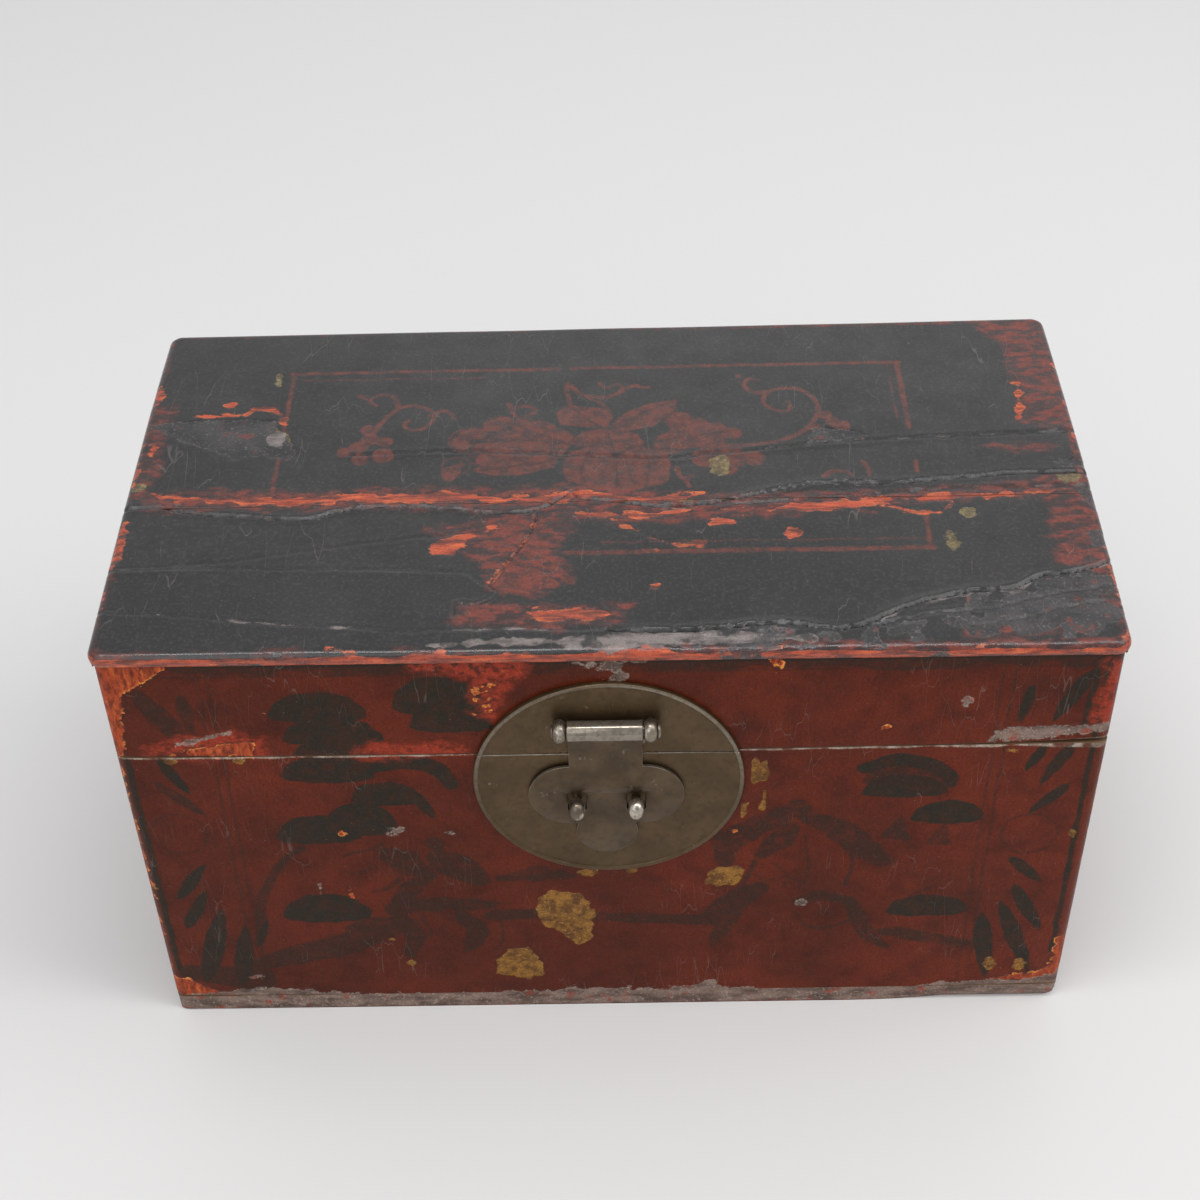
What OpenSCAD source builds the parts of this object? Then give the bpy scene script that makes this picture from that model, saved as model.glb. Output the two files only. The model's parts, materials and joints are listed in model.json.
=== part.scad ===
// Small lacquered trunk with a hinged lid, a round two-part lock plate and a cloud-shaped hasp.
// X runs along the front, Y from the front to the back and Z up. The origin is on the floor,
// under the middle of the case.

/* [Case] */
// Length of the case along the front, without the overhang of the top planks
case_w = 377; // [300:1:460]
// Depth of the case from front to back, without the overhang of the top planks
case_d = 204; // [170:1:260]
// Height of the lower part, from the floor to the parting line
case_h = 156.5; // [140:0.5:220]
// Thickness of the boards of the case and of the lid's frame
wall = 10; // [8:0.5:14]
// Thickness of the bottom board
bottom_t = 9; // [6:0.5:14]
// Radius of the upright corners
corner_r = 4; // [1:0.2:5]

/* [Lid] */
// Height of the lid, from the parting line to the top of its crown
lid_h = 55.6; // [50:0.2:80]
// Thickness of the top planks along the middle of the lid
top_t = 8; // [8:0.5:14]
// How far the middle of the top stands above its front and back edges
crown = 2.4; // [1:0.2:4]
// How far the top planks stand out past the case
overhang = 1.5; // [0.5:0.25:4]
// Radius of the top planks' upper edges
edge_r = 3.2; // [2:0.2:4]
// Radius of the top planks' lower edges
under_r = 1.2; // [0.5:0.1:2]
// Distance from the case's front face to the joint between the two top planks
plank_joint = 82; // [60:1:110]

/* [Corner joints and pegs] */
// Height aimed at for one dovetail and the pin beside it
tail_pitch = 36; // [24:1:50]
// Share of that height that the dovetail takes
tail_share = 0.58; // [0.4:0.02:0.7]
// How much each slanting side of a dovetail widens towards its end
tail_flare = 1.8; // [1:0.1:3]
// Radius of the bamboo pegs that hold the top planks and the bottom board
peg_r = 1.5; // [1:0.1:2.4]
// Length of the bamboo pegs
peg_len = 24; // [18:1:34]
// Distance between one peg and the next
peg_pitch = 78; // [50:1:120]

/* [Lock plate] */
// Radius of the round lock plate
plate_r = 52; // [44:0.1:56]
// Thickness of the lock plate's sheet
plate_t = 1.4; // [1:0.1:2.4]
// Sideways place of the lock plate's centre
plate_x = -1; // [-6:0.5:6]
// How far the lock plate's centre lies below the parting line
plate_drop = 15; // [8:0.5:24]
// Radius of the bead round the lock plate's rim
bead_r = 1; // [0.6:0.1:1.6]

/* [Hasp] */
// Thickness of the hasp's sheet
hasp_t = 1.4; // [1:0.1:2]
// Width of the hasp's neck, and length of its rolled barrel
hasp_w = 28; // [24:0.5:32]
// Outer radius of the rolled barrel
barrel_r = 4; // [3.8:0.1:5]
// Radius of the hasp's pin
hasp_pin_r = 2.5; // [1.5:0.1:2.5]
// Height of the hasp's pin above the parting line
hasp_rise = 17; // [11:0.5:20]
// Sideways place of the hasp's centre
hasp_x = -2; // [-6:0.5:6]
// Radius of the hasp's two side lobes
lobe_r = 15.8; // [13:0.1:18]
// Distance from the hasp's centre line to the centre of each side lobe
lobe_x = 14.2; // [12:0.1:18]
// Distance from the hasp's pin down to the centres of the side lobes
lobe_drop = 38; // [34:0.2:46]
// Radius of the hasp's lower lobe
tip_r = 12; // [9:0.1:14]
// Distance from the hasp's pin down to the centre of the lower lobe
tip_drop = 58.8; // [56:0.2:66]

/* [Eyes and staples] */
// Inner radius of the staples, which take the bar of a padlock
staple_r = 2.4; // [2:0.1:3]
// Distance between the two staples
staple_pitch = 22.8; // [18:0.1:26]
// Distance from the hasp's pin down to the staples
staple_drop = 41.6; // [36:0.2:46]
// Thickness of the half-round strip that eyes and staples are folded from
strip_t = 2; // [1.4:0.1:2.4]
// Width of that strip at the staples
staple_w = 6; // [4:0.1:7]
// Width of that strip at the hasp's eyes
eye_w = 5.4; // [4:0.1:7]
// Radius of the two legs together, where they pass through a board
leg_r = 1.8; // [1.2:0.1:2]
// Length of each leg that is bent over inside
clench = 11; // [7:0.5:16]

/* [Rear hinges] */
// Distance from the end of the case to the middle of each rear hinge
hinge_inset = 70; // [50:1:90]
// Width of a hinge leaf, and length of the hinge's barrel
leaf_w = 34; // [28:1:44]
// Length of a leaf, from the hinge's axis to its round end
leaf_h = 33; // [28:1:36]
// Thickness of a leaf
leaf_t = 1.2; // [0.8:0.1:1.6]
// Outer radius of the hinge's barrel
knuckle_r = 3.2; // [2.8:0.1:4]
// Radius of the hinge pins
hinge_pin_r = 1.9; // [1.2:0.1:1.9]
// Radius of a nail's domed head
nail_head_r = 2.3; // [1.6:0.1:3]
// Height of a nail's domed head
nail_head_h = 1.1; // [0.6:0.1:1.4]
// Radius of a nail's shank
nail_r = 0.8; // [0.5:0.1:1.2]
// Length of a nail's shank
nail_len = 8; // [6:0.5:9]

/* [End handles] */
// Height of the handles' pivots above the floor
handle_z = 112; // [90:1:125]
// Distance between the two eyes of a handle
handle_pitch = 56; // [44:1:80]
// Distance from a handle's pivot down to the middle of its grip
bail_drop = 34; // [28:1:44]
// Radius of the bail's rod
bail_r = 2.4; // [2:0.1:3]
// Radius of the grip at its thickest
grip_r = 3.6; // [3:0.1:5]
// Radius of the bail's ends, which turn in the eyes
bail_pin_r = 1.9; // [1.4:0.1:1.9]
// Bend radius of the bail's lower corners
bend_r = 9; // [7:0.5:14]
// Radius of the round rose under each eye
rose_r = 7.5; // [6:0.1:10]
// Thickness of a rose at its middle
rose_t = 1.4; // [1:0.1:2]

/* [Clearances] */
// Gap between the lid and the case at the parting line
lid_gap = 0.4; // [0.2:0.05:1]
// Gap between a pin and the bore that it turns in
run = 0.08; // [0.02:0.01:0.1]
// Gap between a peg, nail or leg and its drilled hole
fit = 0.05; // [0.02:0.01:0.2]
// Gap between pieces that move past each other side by side
side_gap = 0.3; // [0.2:0.05:0.6]
// Gap between the hasp and the lock plate behind it
hasp_gap = 0.5; // [0.3:0.05:1]
// Gap between the hasp and a padlock's bar in the staples
bar_gap = 1.4; // [0.3:0.1:2]
// Gap between the hasp's slots and the staples that stand in them
slot_gap = 0.7; // [0.5:0.05:1.2]
// Gap between the two top planks
plank_gap = 0.2; // [0.1:0.05:0.6]
// Thickness of the ground and lacquer that cover the pegs in the top planks
skin = 2; // [1:0.25:3]

/* [Hidden] */
$fn = 48;
cut = 1;
slit = 0.3;

case_front = -case_d/2;
case_back = case_d/2;
lid_z = case_h + lid_gap;
top_z = case_h + lid_h;
plank_z = top_z - top_t;
top_w = case_w + 2*overhang;
top_d = case_d + 2*overhang;
crown_r = (pow(top_d/2, 2) + pow(crown, 2)) / (2*crown);
crown_steps = 14;
crown_edge_z = crown_at(top_d/2 - edge_r);
joint_y = case_front + plank_joint;

peg_hole_r = peg_r + fit;
peg_inset = 2*wall;
// The upper ends of the top's pegs lie under the lacquer
peg_top = top_z - crown - skin;

plate_z = case_h - plate_drop;
hasp_z = case_h + hasp_rise;
hasp_bore_r = hasp_pin_r + run;
hasp_reach = plate_t + hasp_gap + barrel_r;
hasp_back = case_front - plate_t - hasp_gap;
slot_w = staple_w + 2*slot_gap;
slot_h = 2*(staple_r + strip_t + slot_gap);
slot_r = 1;
staple_z = hasp_z - staple_drop;
staple_reach = plate_t + hasp_gap + hasp_t + bar_gap + staple_r;
eye_x = hasp_w/2 + side_gap + eye_w/2;
pin_head_t = 1;
leg_hole_r = leg_r + fit;

hinge_x = case_w/2 - hinge_inset;
axis_y = case_back + knuckle_r + side_gap/2;
axis_z = case_h + lid_gap/2;
knuckle_w = (leaf_w - 2*side_gap) / 3;
hinge_bore_r = hinge_pin_r + run;
knuckle_room = knuckle_r + side_gap;
nail_edge = nail_head_r + 1.6;
nail_spots = [
    [-leaf_w/2 + nail_edge, knuckle_room + nail_edge],
    [leaf_w/2 - nail_edge, knuckle_room + nail_edge],
    [0, leaf_h - nail_edge - 1]
];

bail_bore_r = bail_pin_r + run;
grip_steps = 6;
bail_reach = rose_t + bail_bore_r + strip_t + side_gap;
elbow_r = bail_r + 0.4;
arm_y = handle_pitch/2 + eye_w/2 + side_gap + elbow_r;
pin_out = 1.5;

wood_red = "#5a1e16";
lacquer_black = "#1d1a1b";
wood_bare = "#6b4a30";
bamboo = "#b08a54";
brass_dark = "#4d3f2e";
brass_worn = "#8d8272";

// Outlines and shapes that more than one piece uses

module round_rect(w, d, r) {
    square([w - 2*r, d], center = true);
    square([w, d - 2*r], center = true);
    for (x = [-1, 1], y = [-1, 1])
        translate([x*(w/2 - r), y*(d/2 - r)]) circle(r);
}

// The case's outline from above, raised between two heights
module case_block(z0, z1) {
    translate([0, 0, z0]) linear_extrude(z1 - z0) round_rect(case_w, case_d, corner_r);
}

// Moves what lies on the front face to the back face, and the reverse
module to_back(back) {
    if (back) mirror([0, 1, 0]) children();
    else children();
}

function tail_count(h) = max(1, round(h/tail_pitch));

// The dovetails at both ends of a front or back board, long enough to be trimmed at every face
module tails(z0, z1) {
    n = tail_count(z1 - z0);
    pitch = (z1 - z0)/n;
    root = pitch*tail_share/2 - tail_flare/2;
    end = root + tail_flare;
    for (i = [0 : n - 1], side = [-1, 1])
        translate([side*case_w/2, case_front + wall, z0 + (i + 0.5)*pitch])
            rotate([90, 0, 0])
                linear_extrude(wall + cut)
                    scale_x(side)
                        polygon([
                            [-wall - cut, -root], [-wall, -root], [0, -end], [cut, -end],
                            [cut, end], [0, end], [-wall, root], [-wall - cut, root]
                        ]);
}

module scale_x(side) {
    if (side < 0) mirror([1, 0]) children();
    else children();
}

// A front or back board with dovetails at both ends
module tail_board(z0, z1, back) {
    intersection() {
        case_block(z0, z1);
        to_back(back) union() {
            translate([-case_w/2 + wall, case_front - cut, z0])
                cube([case_w - 2*wall, wall + cut, z1 - z0]);
            tails(z0, z1);
        }
    }
}

// An end board, cut out to take the dovetails of the front and back boards
module pin_board(z0, z1, side) {
    intersection() {
        case_block(z0, z1);
        difference() {
            translate([side > 0 ? case_w/2 - wall : -case_w/2 - cut, -case_d/2 - cut, z0])
                cube([wall + cut, case_d + 2*cut, z1 - z0]);
            tails(z0, z1);
            mirror([0, 1, 0]) tails(z0, z1);
        }
    }
}

// Evenly spaced places along one side of the trunk, all clear of the corner joints
function spots(length) =
    let (span = length - 2*peg_inset, n = max(1, round(span/peg_pitch)))
    [for (i = [0 : n]) -span/2 + i*span/n];

module at_pegs() {
    for (x = spots(case_w), y = [-1, 1])
        translate([x, y*(case_d/2 - wall/2)]) children();
    for (y = spots(case_d - 2*wall), x = [-1, 1])
        translate([x*(case_w/2 - wall/2), y]) children();
}

// A ring with a half-round outside, folded from strip, with its bore along X
module strip_ring(bore_r, w) {
    bulge_r = (pow(w/2, 2) + pow(strip_t, 2)) / (2*strip_t);
    rotate([0, 90, 0])
        rotate_extrude()
            intersection() {
                translate([bore_r + strip_t - bulge_r, 0]) circle(bulge_r);
                translate([bore_r, -w/2]) square([strip_t + cut, w]);
            }
}

// An eye or staple folded from strip: a ring in front of the board, and two legs that pass through
// the board and are bent up and down behind it. The board's outer face is at Y = 0, and the bore
// runs along X.
module split_eye(bore_r, w, reach) {
    tip_t = strip_t*0.7;
    difference() {
        union() {
            translate([0, -reach, 0]) strip_ring(bore_r, w);
            translate([0, -reach + bore_r, 0])
                rotate([-90, 0, 0]) cylinder(r = leg_r, h = reach - bore_r + wall + tip_t);
            for (up = [-1, 1])
                scale_z(up)
                    translate([0, wall + tip_t, 0])
                        rotate([90, 0, 0])
                            linear_extrude(tip_t) clench_outline();
        }
        translate([-w, -reach, -slit/2]) cube([2*w, reach + wall + cut + tip_t, slit]);
    }
}

module scale_z(up) {
    if (up < 0) mirror([0, 0, 1]) children();
    else children();
}

// A leg's bent-over end from the front: as wide as the leg, and rounded at its tip
module clench_outline() {
    polygon([[-leg_r, 0], [leg_r, 0], [leg_r*0.6, clench - leg_r], [-leg_r*0.6, clench - leg_r]]);
    translate([0, clench - leg_r]) circle(leg_r*0.6);
}

// The hole that a pair of legs passes through, from in front of the plate to behind the board
module leg_hole() {
    translate([0, wall + cut, 0])
        rotate([90, 0, 0]) cylinder(r = leg_hole_r, h = wall + plate_t + rose_t + 2*cut);
}

// Case

module at_staples() {
    for (side = [-1, 1])
        translate([hasp_x + side*staple_pitch/2, case_front, staple_z]) children();
}

module at_hasp_eyes() {
    for (side = [-1, 1])
        translate([hasp_x + side*eye_x, case_front, hasp_z]) children();
}

module front_board() {
    color(wood_red)
        difference() {
            tail_board(bottom_t, case_h, false);
            at_staples() leg_hole();
            peg_holes_below();
        }
}

module back_board() {
    color(wood_red)
        difference() {
            tail_board(bottom_t, case_h, true);
            nail_holes(-1, nail_r + fit);
            peg_holes_below();
        }
}

module end_board(side) {
    color(wood_red)
        difference() {
            pin_board(bottom_t, case_h, side);
            at_handle_eyes(side) leg_hole();
            peg_holes_below();
        }
}

module peg_holes_below() {
    at_pegs() translate([0, 0, -cut]) cylinder(r = peg_hole_r, h = peg_len + cut + fit);
}

module bottom_board() {
    color(wood_bare)
        difference() {
            case_block(0, bottom_t);
            peg_holes_below();
        }
}

module bottom_pegs() {
    color(bamboo)
        at_pegs() cylinder(r = peg_r, h = peg_len);
}

// Lid

module lid_front_rail() {
    color(wood_red)
        difference() {
            tail_board(lid_z, plank_z, false);
            at_hasp_eyes() leg_hole();
            peg_holes_above();
        }
}

module lid_back_rail() {
    color(wood_red)
        difference() {
            tail_board(lid_z, plank_z, true);
            nail_holes(1, nail_r + fit);
            peg_holes_above();
        }
}

module lid_end_rail(side) {
    color(wood_red)
        difference() {
            pin_board(lid_z, plank_z, side);
            peg_holes_above();
        }
}

module peg_holes_above() {
    at_pegs()
        translate([0, 0, peg_top - peg_len - fit]) cylinder(r = peg_hole_r, h = peg_len + 2*fit);
}

module top_pegs() {
    color(bamboo)
        at_pegs() translate([0, 0, peg_top - peg_len]) cylinder(r = peg_r, h = peg_len);
}

// Height of the crowned top at a distance from the lid's middle line
function crown_at(y) = top_z - crown_r + sqrt(pow(crown_r, 2) - pow(y, 2));

// What is cut off to round a corner at the origin, where the solid lies at -X and -Y
module corner_cut(r) {
    difference() {
        translate([-r, -r]) square(r + cut);
        translate([-r, -r]) circle(r);
    }
}

// Rounds the two upper and the two lower corners of an outline that is centred on X = 0
module cut_corners(half, upper_z) {
    for (side = [-1, 1])
        scale_x(side) {
            translate([half, upper_z]) corner_cut(edge_r);
            translate([half, plank_z]) mirror([0, 1]) corner_cut(under_r);
        }
}

// The top from one end: a low crown, with rounded upper and lower edges
module top_section() {
    half = top_d/2;
    difference() {
        polygon([
            [half, plank_z], [-half, plank_z],
            for (i = [-crown_steps : crown_steps]) [half*i/crown_steps, crown_at(half*i/crown_steps)]
        ]);
        cut_corners(half, crown_edge_z);
    }
}

// The top from the front, with the same edges at its two ends
module top_front_outline() {
    difference() {
        translate([-top_w/2, plank_z]) square([top_w, top_t]);
        cut_corners(top_w/2, top_z);
    }
}

module top_slab() {
    intersection() {
        rotate([90, 0, 90])
            translate([0, 0, -top_w/2]) linear_extrude(top_w) top_section();
        rotate([90, 0, 0])
            translate([0, 0, -top_d/2]) linear_extrude(top_d) top_front_outline();
        translate([0, 0, plank_z - cut])
            linear_extrude(top_t + 2*cut) round_rect(top_w, top_d, corner_r + overhang);
    }
}

// The part of the top between two distances from the front to the back
module top_plank(y0, y1) {
    color(lacquer_black)
        difference() {
            intersection() {
                top_slab();
                translate([-top_w/2 - cut, y0, plank_z - cut])
                    cube([top_w + 2*cut, y1 - y0, top_t + 2*cut]);
            }
            peg_holes_above();
        }
}

// Lock plate, staples and hasp

// The whole round plate on the front face, flat behind and with a bead round its rim
module lock_disc() {
    translate([plate_x, case_front, plate_z])
        rotate([90, 0, 0])
            rotate_extrude($fn = 180) {
                square([plate_r, plate_t]);
                intersection() {
                    translate([plate_r - bead_r, plate_t]) circle(bead_r, $fn = 32);
                    translate([0, plate_t/2]) square([plate_r, plate_t + bead_r]);
                }
            }
}

module lock_plate_lower() {
    color(brass_dark)
        difference() {
            lock_disc();
            translate([plate_x - plate_r - cut, case_front - wall, case_h])
                cube([2*plate_r + 2*cut, 2*wall, 2*plate_r]);
            at_staples() leg_hole();
        }
}

module lock_plate_upper() {
    color(brass_dark)
        difference() {
            lock_disc();
            translate([plate_x - plate_r - cut, case_front - wall, lid_z - 2*plate_r])
                cube([2*plate_r + 2*cut, 2*wall, 2*plate_r]);
            at_hasp_eyes() leg_hole();
        }
}

module staple(side) {
    color(brass_worn)
        translate([hasp_x + side*staple_pitch/2, case_front, staple_z])
            split_eye(staple_r, staple_w, staple_reach);
}

module hasp_eye(side) {
    color(brass_worn)
        translate([hasp_x + side*eye_x, case_front, hasp_z])
            split_eye(hasp_bore_r, eye_w, hasp_reach);
}

// The hasp's leaf from the front, measured down from its pin: a neck, two side lobes and a tip
module hasp_outline() {
    neck_bottom = -lobe_drop;
    translate([-hasp_w/2, neck_bottom]) square([hasp_w, lobe_drop]);
    for (side = [-1, 1])
        translate([side*lobe_x, -lobe_drop]) circle(lobe_r, $fn = 96);
    translate([0, -tip_drop]) circle(tip_r, $fn = 96);
    polygon([
        [-lobe_x, -lobe_drop], [lobe_x, -lobe_drop],
        [tip_r*0.94, -tip_drop + tip_r*0.3], [-tip_r*0.94, -tip_drop + tip_r*0.3]
    ]);
}

module hasp() {
    axis = case_front - hasp_reach;
    color(brass_dark)
        translate([hasp_x, 0, hasp_z])
            difference() {
                union() {
                    translate([0, hasp_back, 0])
                        rotate([90, 0, 0]) linear_extrude(hasp_t) hasp_outline();
                    translate([-hasp_w/2, axis, 0])
                        rotate([0, 90, 0]) cylinder(r = barrel_r, h = hasp_w);
                }
                translate([-hasp_w/2 - cut, axis, 0])
                    rotate([0, 90, 0]) cylinder(r = hasp_bore_r, h = hasp_w + 2*cut);
                for (side = [-1, 1])
                    translate([side*staple_pitch/2, hasp_back + cut, -staple_drop])
                        rotate([90, 0, 0])
                            linear_extrude(hasp_t + 2*cut) round_rect(slot_w, slot_h, slot_r);
            }
}

module hasp_pin() {
    outer = eye_x + eye_w/2;
    color(brass_worn)
        translate([hasp_x - outer - side_gap, case_front - hasp_reach, hasp_z])
            rotate([0, 90, 0]) {
                cylinder(r = hasp_pin_r, h = 2*outer + 2*side_gap);
                translate([0, 0, 2*outer + side_gap*1.5])
                    cylinder(r1 = hasp_pin_r*1.35, r2 = hasp_pin_r*1.1, h = pin_head_t, $fn = 48);
            }
}

// Rear hinges

// A hinge leaf on the back face, seen from behind, with its round end away from the axis
module leaf_outline() {
    end_r = leaf_w/2;
    translate([-leaf_w/2, 0]) square([leaf_w, leaf_h - end_r]);
    translate([0, leaf_h - end_r]) circle(end_r, $fn = 96);
}

// Places a leaf's own shapes: Y = 0 is the back face, Z = 0 the axis, and up is 1 or -1
module at_leaf(side, up) {
    translate([side*hinge_x, case_back, axis_z]) scale_z(up) children();
}

module hinge_leaf(side, up) {
    color(brass_dark)
        at_leaf(side, up)
            difference() {
                union() {
                    translate([0, leaf_t, 0])
                        rotate([90, 0, 0]) linear_extrude(leaf_t) leaf_outline();
                    leaf_barrel(knuckle_r, 0);
                }
                other_knuckles(up) {
                    translate([0, axis_y - case_back, 0])
                        rotate([0, 90, 0]) cylinder(r = knuckle_room, h = 1, center = true);
                }
                leaf_barrel(hinge_bore_r, cut);
                for (p = nail_spots)
                    translate([p[0], leaf_t + cut, p[1]])
                        rotate([90, 0, 0]) cylinder(r = nail_r + fit, h = leaf_t + 2*cut);
            }
}

// A cylinder on the hinge's axis, as long as the leaf is wide
module leaf_barrel(r, extra) {
    translate([-leaf_w/2 - extra, axis_y - case_back, 0])
        rotate([0, 90, 0]) cylinder(r = r, h = leaf_w + 2*extra);
}

// Room for the knuckles of the other leaf: the outer two for the upper leaf, the middle one for
// the lower leaf
module other_knuckles(up) {
    depth = axis_y - case_back + knuckle_room;
    if (up > 0)
        for (side = [-1, 1])
            translate([side*(leaf_w/2 - knuckle_w/2 + cut/2), depth/2, 0])
                cube([knuckle_w + cut + side_gap, depth + cut, 2*knuckle_room], center = true);
    else
        translate([0, depth/2, 0])
            cube([knuckle_w + side_gap, depth + cut, 2*knuckle_room], center = true);
}

module hinge_pin(side) {
    head_t = 0.8;
    half = leaf_w/2 + side_gap/2;
    color(brass_worn)
        translate([side*hinge_x, axis_y, axis_z])
            rotate([0, 90, 0]) {
                cylinder(r = hinge_pin_r, h = 2*half, center = true);
                for (end = [-1, 1])
                    translate([0, 0, end*(half + head_t/2)])
                        cylinder(r = hinge_pin_r*1.3, h = head_t, center = true);
            }
}

module nail_holes(up, r) {
    for (side = [-1, 1])
        at_leaf(side, up)
            for (p = nail_spots)
                translate([p[0], leaf_t + cut, p[1]])
                    rotate([90, 0, 0]) cylinder(r = r, h = nail_len + fit + cut);
}

// Domed nails through both leaves of one half of the trunk
module hinge_nails(up) {
    dome_r = (pow(nail_head_r, 2) + pow(nail_head_h, 2)) / (2*nail_head_h);
    color(brass_worn)
        for (side = [-1, 1])
            at_leaf(side, up)
                for (p = nail_spots)
                    translate([p[0], leaf_t, p[1]])
                        rotate([-90, 0, 0]) {
                            translate([0, 0, -nail_len]) cylinder(r = nail_r, h = nail_len + nail_head_h/2);
                            intersection() {
                                translate([0, 0, nail_head_h - dome_r]) sphere(dome_r);
                                cylinder(r = nail_head_r + cut, h = nail_head_h + cut);
                            }
                        }
}

// End handles

// Places shapes made for the front face on the end face at each eye of a handle
module at_handle_eyes(side) {
    for (y = [-1, 1])
        translate([side*case_w/2, y*handle_pitch/2, handle_z]) rotate([0, 0, side*90]) children();
}

module handle_eyes(side) {
    color(brass_worn)
        at_handle_eyes(side) split_eye(bail_bore_r, eye_w, bail_reach);
}

module handle_roses(side) {
    dome_r = (pow(rose_r, 2) + pow(rose_t - 0.4, 2)) / (2*(rose_t - 0.4));
    color(brass_dark)
        at_handle_eyes(side)
            difference() {
                rotate([90, 0, 0]) {
                    cylinder(r = rose_r, h = 0.4, $fn = 96);
                    intersection() {
                        translate([0, 0, rose_t - dome_r]) sphere(dome_r, $fn = 180);
                        cylinder(r = rose_r, h = rose_t + cut, $fn = 96);
                    }
                }
                leg_hole();
            }
}

// A bail seen along X: two arms, two bends and a grip that swells at its middle. Its ends turn in
// towards each other and lie in the eyes.
module bail(side) {
    grip_half = arm_y - bend_r;
    pin_end = handle_pitch/2 - eye_w/2 - pin_out;
    color(brass_worn)
        translate([side*(case_w/2 + bail_reach), 0, handle_z]) {
            for (y = [-1, 1])
                scale_y(y) {
                    translate([0, arm_y, -bail_drop + bend_r])
                        cylinder(r = bail_r, h = bail_drop - bend_r - elbow_r);
                    translate([0, grip_half, -bail_drop + bend_r])
                        rotate([0, 90, 0])
                            rotate_extrude(angle = 90) translate([bend_r, 0]) circle(bail_r);
                    translate([0, arm_y - elbow_r, -elbow_r])
                        rotate([90, 0, 90])
                            rotate_extrude(angle = 90) translate([elbow_r, 0]) circle(bail_r);
                    translate([0, pin_end, 0])
                        rotate([-90, 0, 0]) cylinder(r = bail_pin_r, h = arm_y - elbow_r - pin_end);
                }
            translate([0, 0, -bail_drop])
                rotate([90, 0, 0])
                    rotate_extrude()
                        polygon([
                            [0, grip_half], [0, -grip_half],
                            for (i = [-grip_steps : grip_steps])
                                [bail_r + (grip_r - bail_r)*cos(90*i/grip_steps), grip_half*i/grip_steps]
                        ]);
        }
}

module scale_y(y) {
    if (y < 0) mirror([0, 1, 0]) children();
    else children();
}

front_board();
back_board();
end_board(-1);  // left_board
end_board(1);  // right_board
bottom_board();
bottom_pegs();
lid_front_rail();
lid_back_rail();
lid_end_rail(-1);  // lid_left_rail
lid_end_rail(1);  // lid_right_rail
top_plank(-top_d/2 - cut, joint_y - plank_gap/2);  // top_plank_front
top_plank(joint_y + plank_gap/2, top_d/2 + cut);  // top_plank_back
top_pegs();
lock_plate_lower();
lock_plate_upper();
staple(-1);  // staple_left
staple(1);  // staple_right
hasp();
hasp_pin();
hasp_eye(-1);  // hasp_eye_left
hasp_eye(1);  // hasp_eye_right
hinge_leaf(-1, -1);  // hinge_leaf_lower_left
hinge_leaf(1, -1);  // hinge_leaf_lower_right
hinge_leaf(-1, 1);  // hinge_leaf_upper_left
hinge_leaf(1, 1);  // hinge_leaf_upper_right
hinge_pin(-1);  // hinge_pin_left
hinge_pin(1);  // hinge_pin_right
hinge_nails(-1);  // hinge_nails_case
hinge_nails(1);  // hinge_nails_lid
handle_eyes(-1);  // handle_eyes_left
handle_eyes(1);  // handle_eyes_right
handle_roses(-1);  // handle_roses_left
handle_roses(1);  // handle_roses_right
bail(-1);  // bail_left
bail(1);  // bail_right
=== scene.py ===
# %% [markdown]
# # A small lacquered trunk
#
# This notebook dresses the working model of an old wooden trunk. The model already holds every board,
# plate, pin and handle at its real size, and it opens. What it lacks is its skin: painted lacquer that
# has cracked and chipped, a crowned lid that has warped, and brass that has gone brown.
#
# All painting is drawn with distances. For each point of a board we ask how far it lies from the edge
# of a painted shape, keep the answer with the point, and let the material turn it into a sharp edge.

# %% Tools and the fixed model
import json
import math

import bpy
import numpy as np
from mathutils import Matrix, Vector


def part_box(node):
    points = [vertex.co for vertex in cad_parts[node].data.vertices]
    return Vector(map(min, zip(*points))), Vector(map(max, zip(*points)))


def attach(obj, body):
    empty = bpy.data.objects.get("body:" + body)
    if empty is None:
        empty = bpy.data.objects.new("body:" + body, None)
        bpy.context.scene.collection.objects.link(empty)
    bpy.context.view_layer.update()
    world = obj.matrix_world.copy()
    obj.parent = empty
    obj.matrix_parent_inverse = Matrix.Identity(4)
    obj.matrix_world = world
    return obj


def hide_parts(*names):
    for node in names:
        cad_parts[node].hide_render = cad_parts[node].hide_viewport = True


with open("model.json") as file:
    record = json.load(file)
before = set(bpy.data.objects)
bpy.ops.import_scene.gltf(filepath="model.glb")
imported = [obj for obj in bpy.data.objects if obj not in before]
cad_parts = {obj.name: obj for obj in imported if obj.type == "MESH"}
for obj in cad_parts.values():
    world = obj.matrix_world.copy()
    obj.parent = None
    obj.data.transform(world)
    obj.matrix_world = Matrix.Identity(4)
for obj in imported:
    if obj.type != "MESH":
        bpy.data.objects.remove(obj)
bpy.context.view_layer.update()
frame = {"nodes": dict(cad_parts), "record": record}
bpy.ops.object.select_all(action="DESELECT")
MM = 0.001
print("pieces in the working model:", len(frame["nodes"]))

# %% [markdown]
# ## The camera
#
# The trunk is seen from in front and above, by someone standing at a bench. The place and the angles
# were found by matching the trunk's eight corners, so they are given as plain numbers.

# %% Camera
SENSOR_WIDTH, LENS = 36, 61.42
CAMERA_PLACE = (0.00464, -0.64018, 0.71863)
CAMERA_ANGLES = (47.9703, 1.0872, -0.2059)

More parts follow.
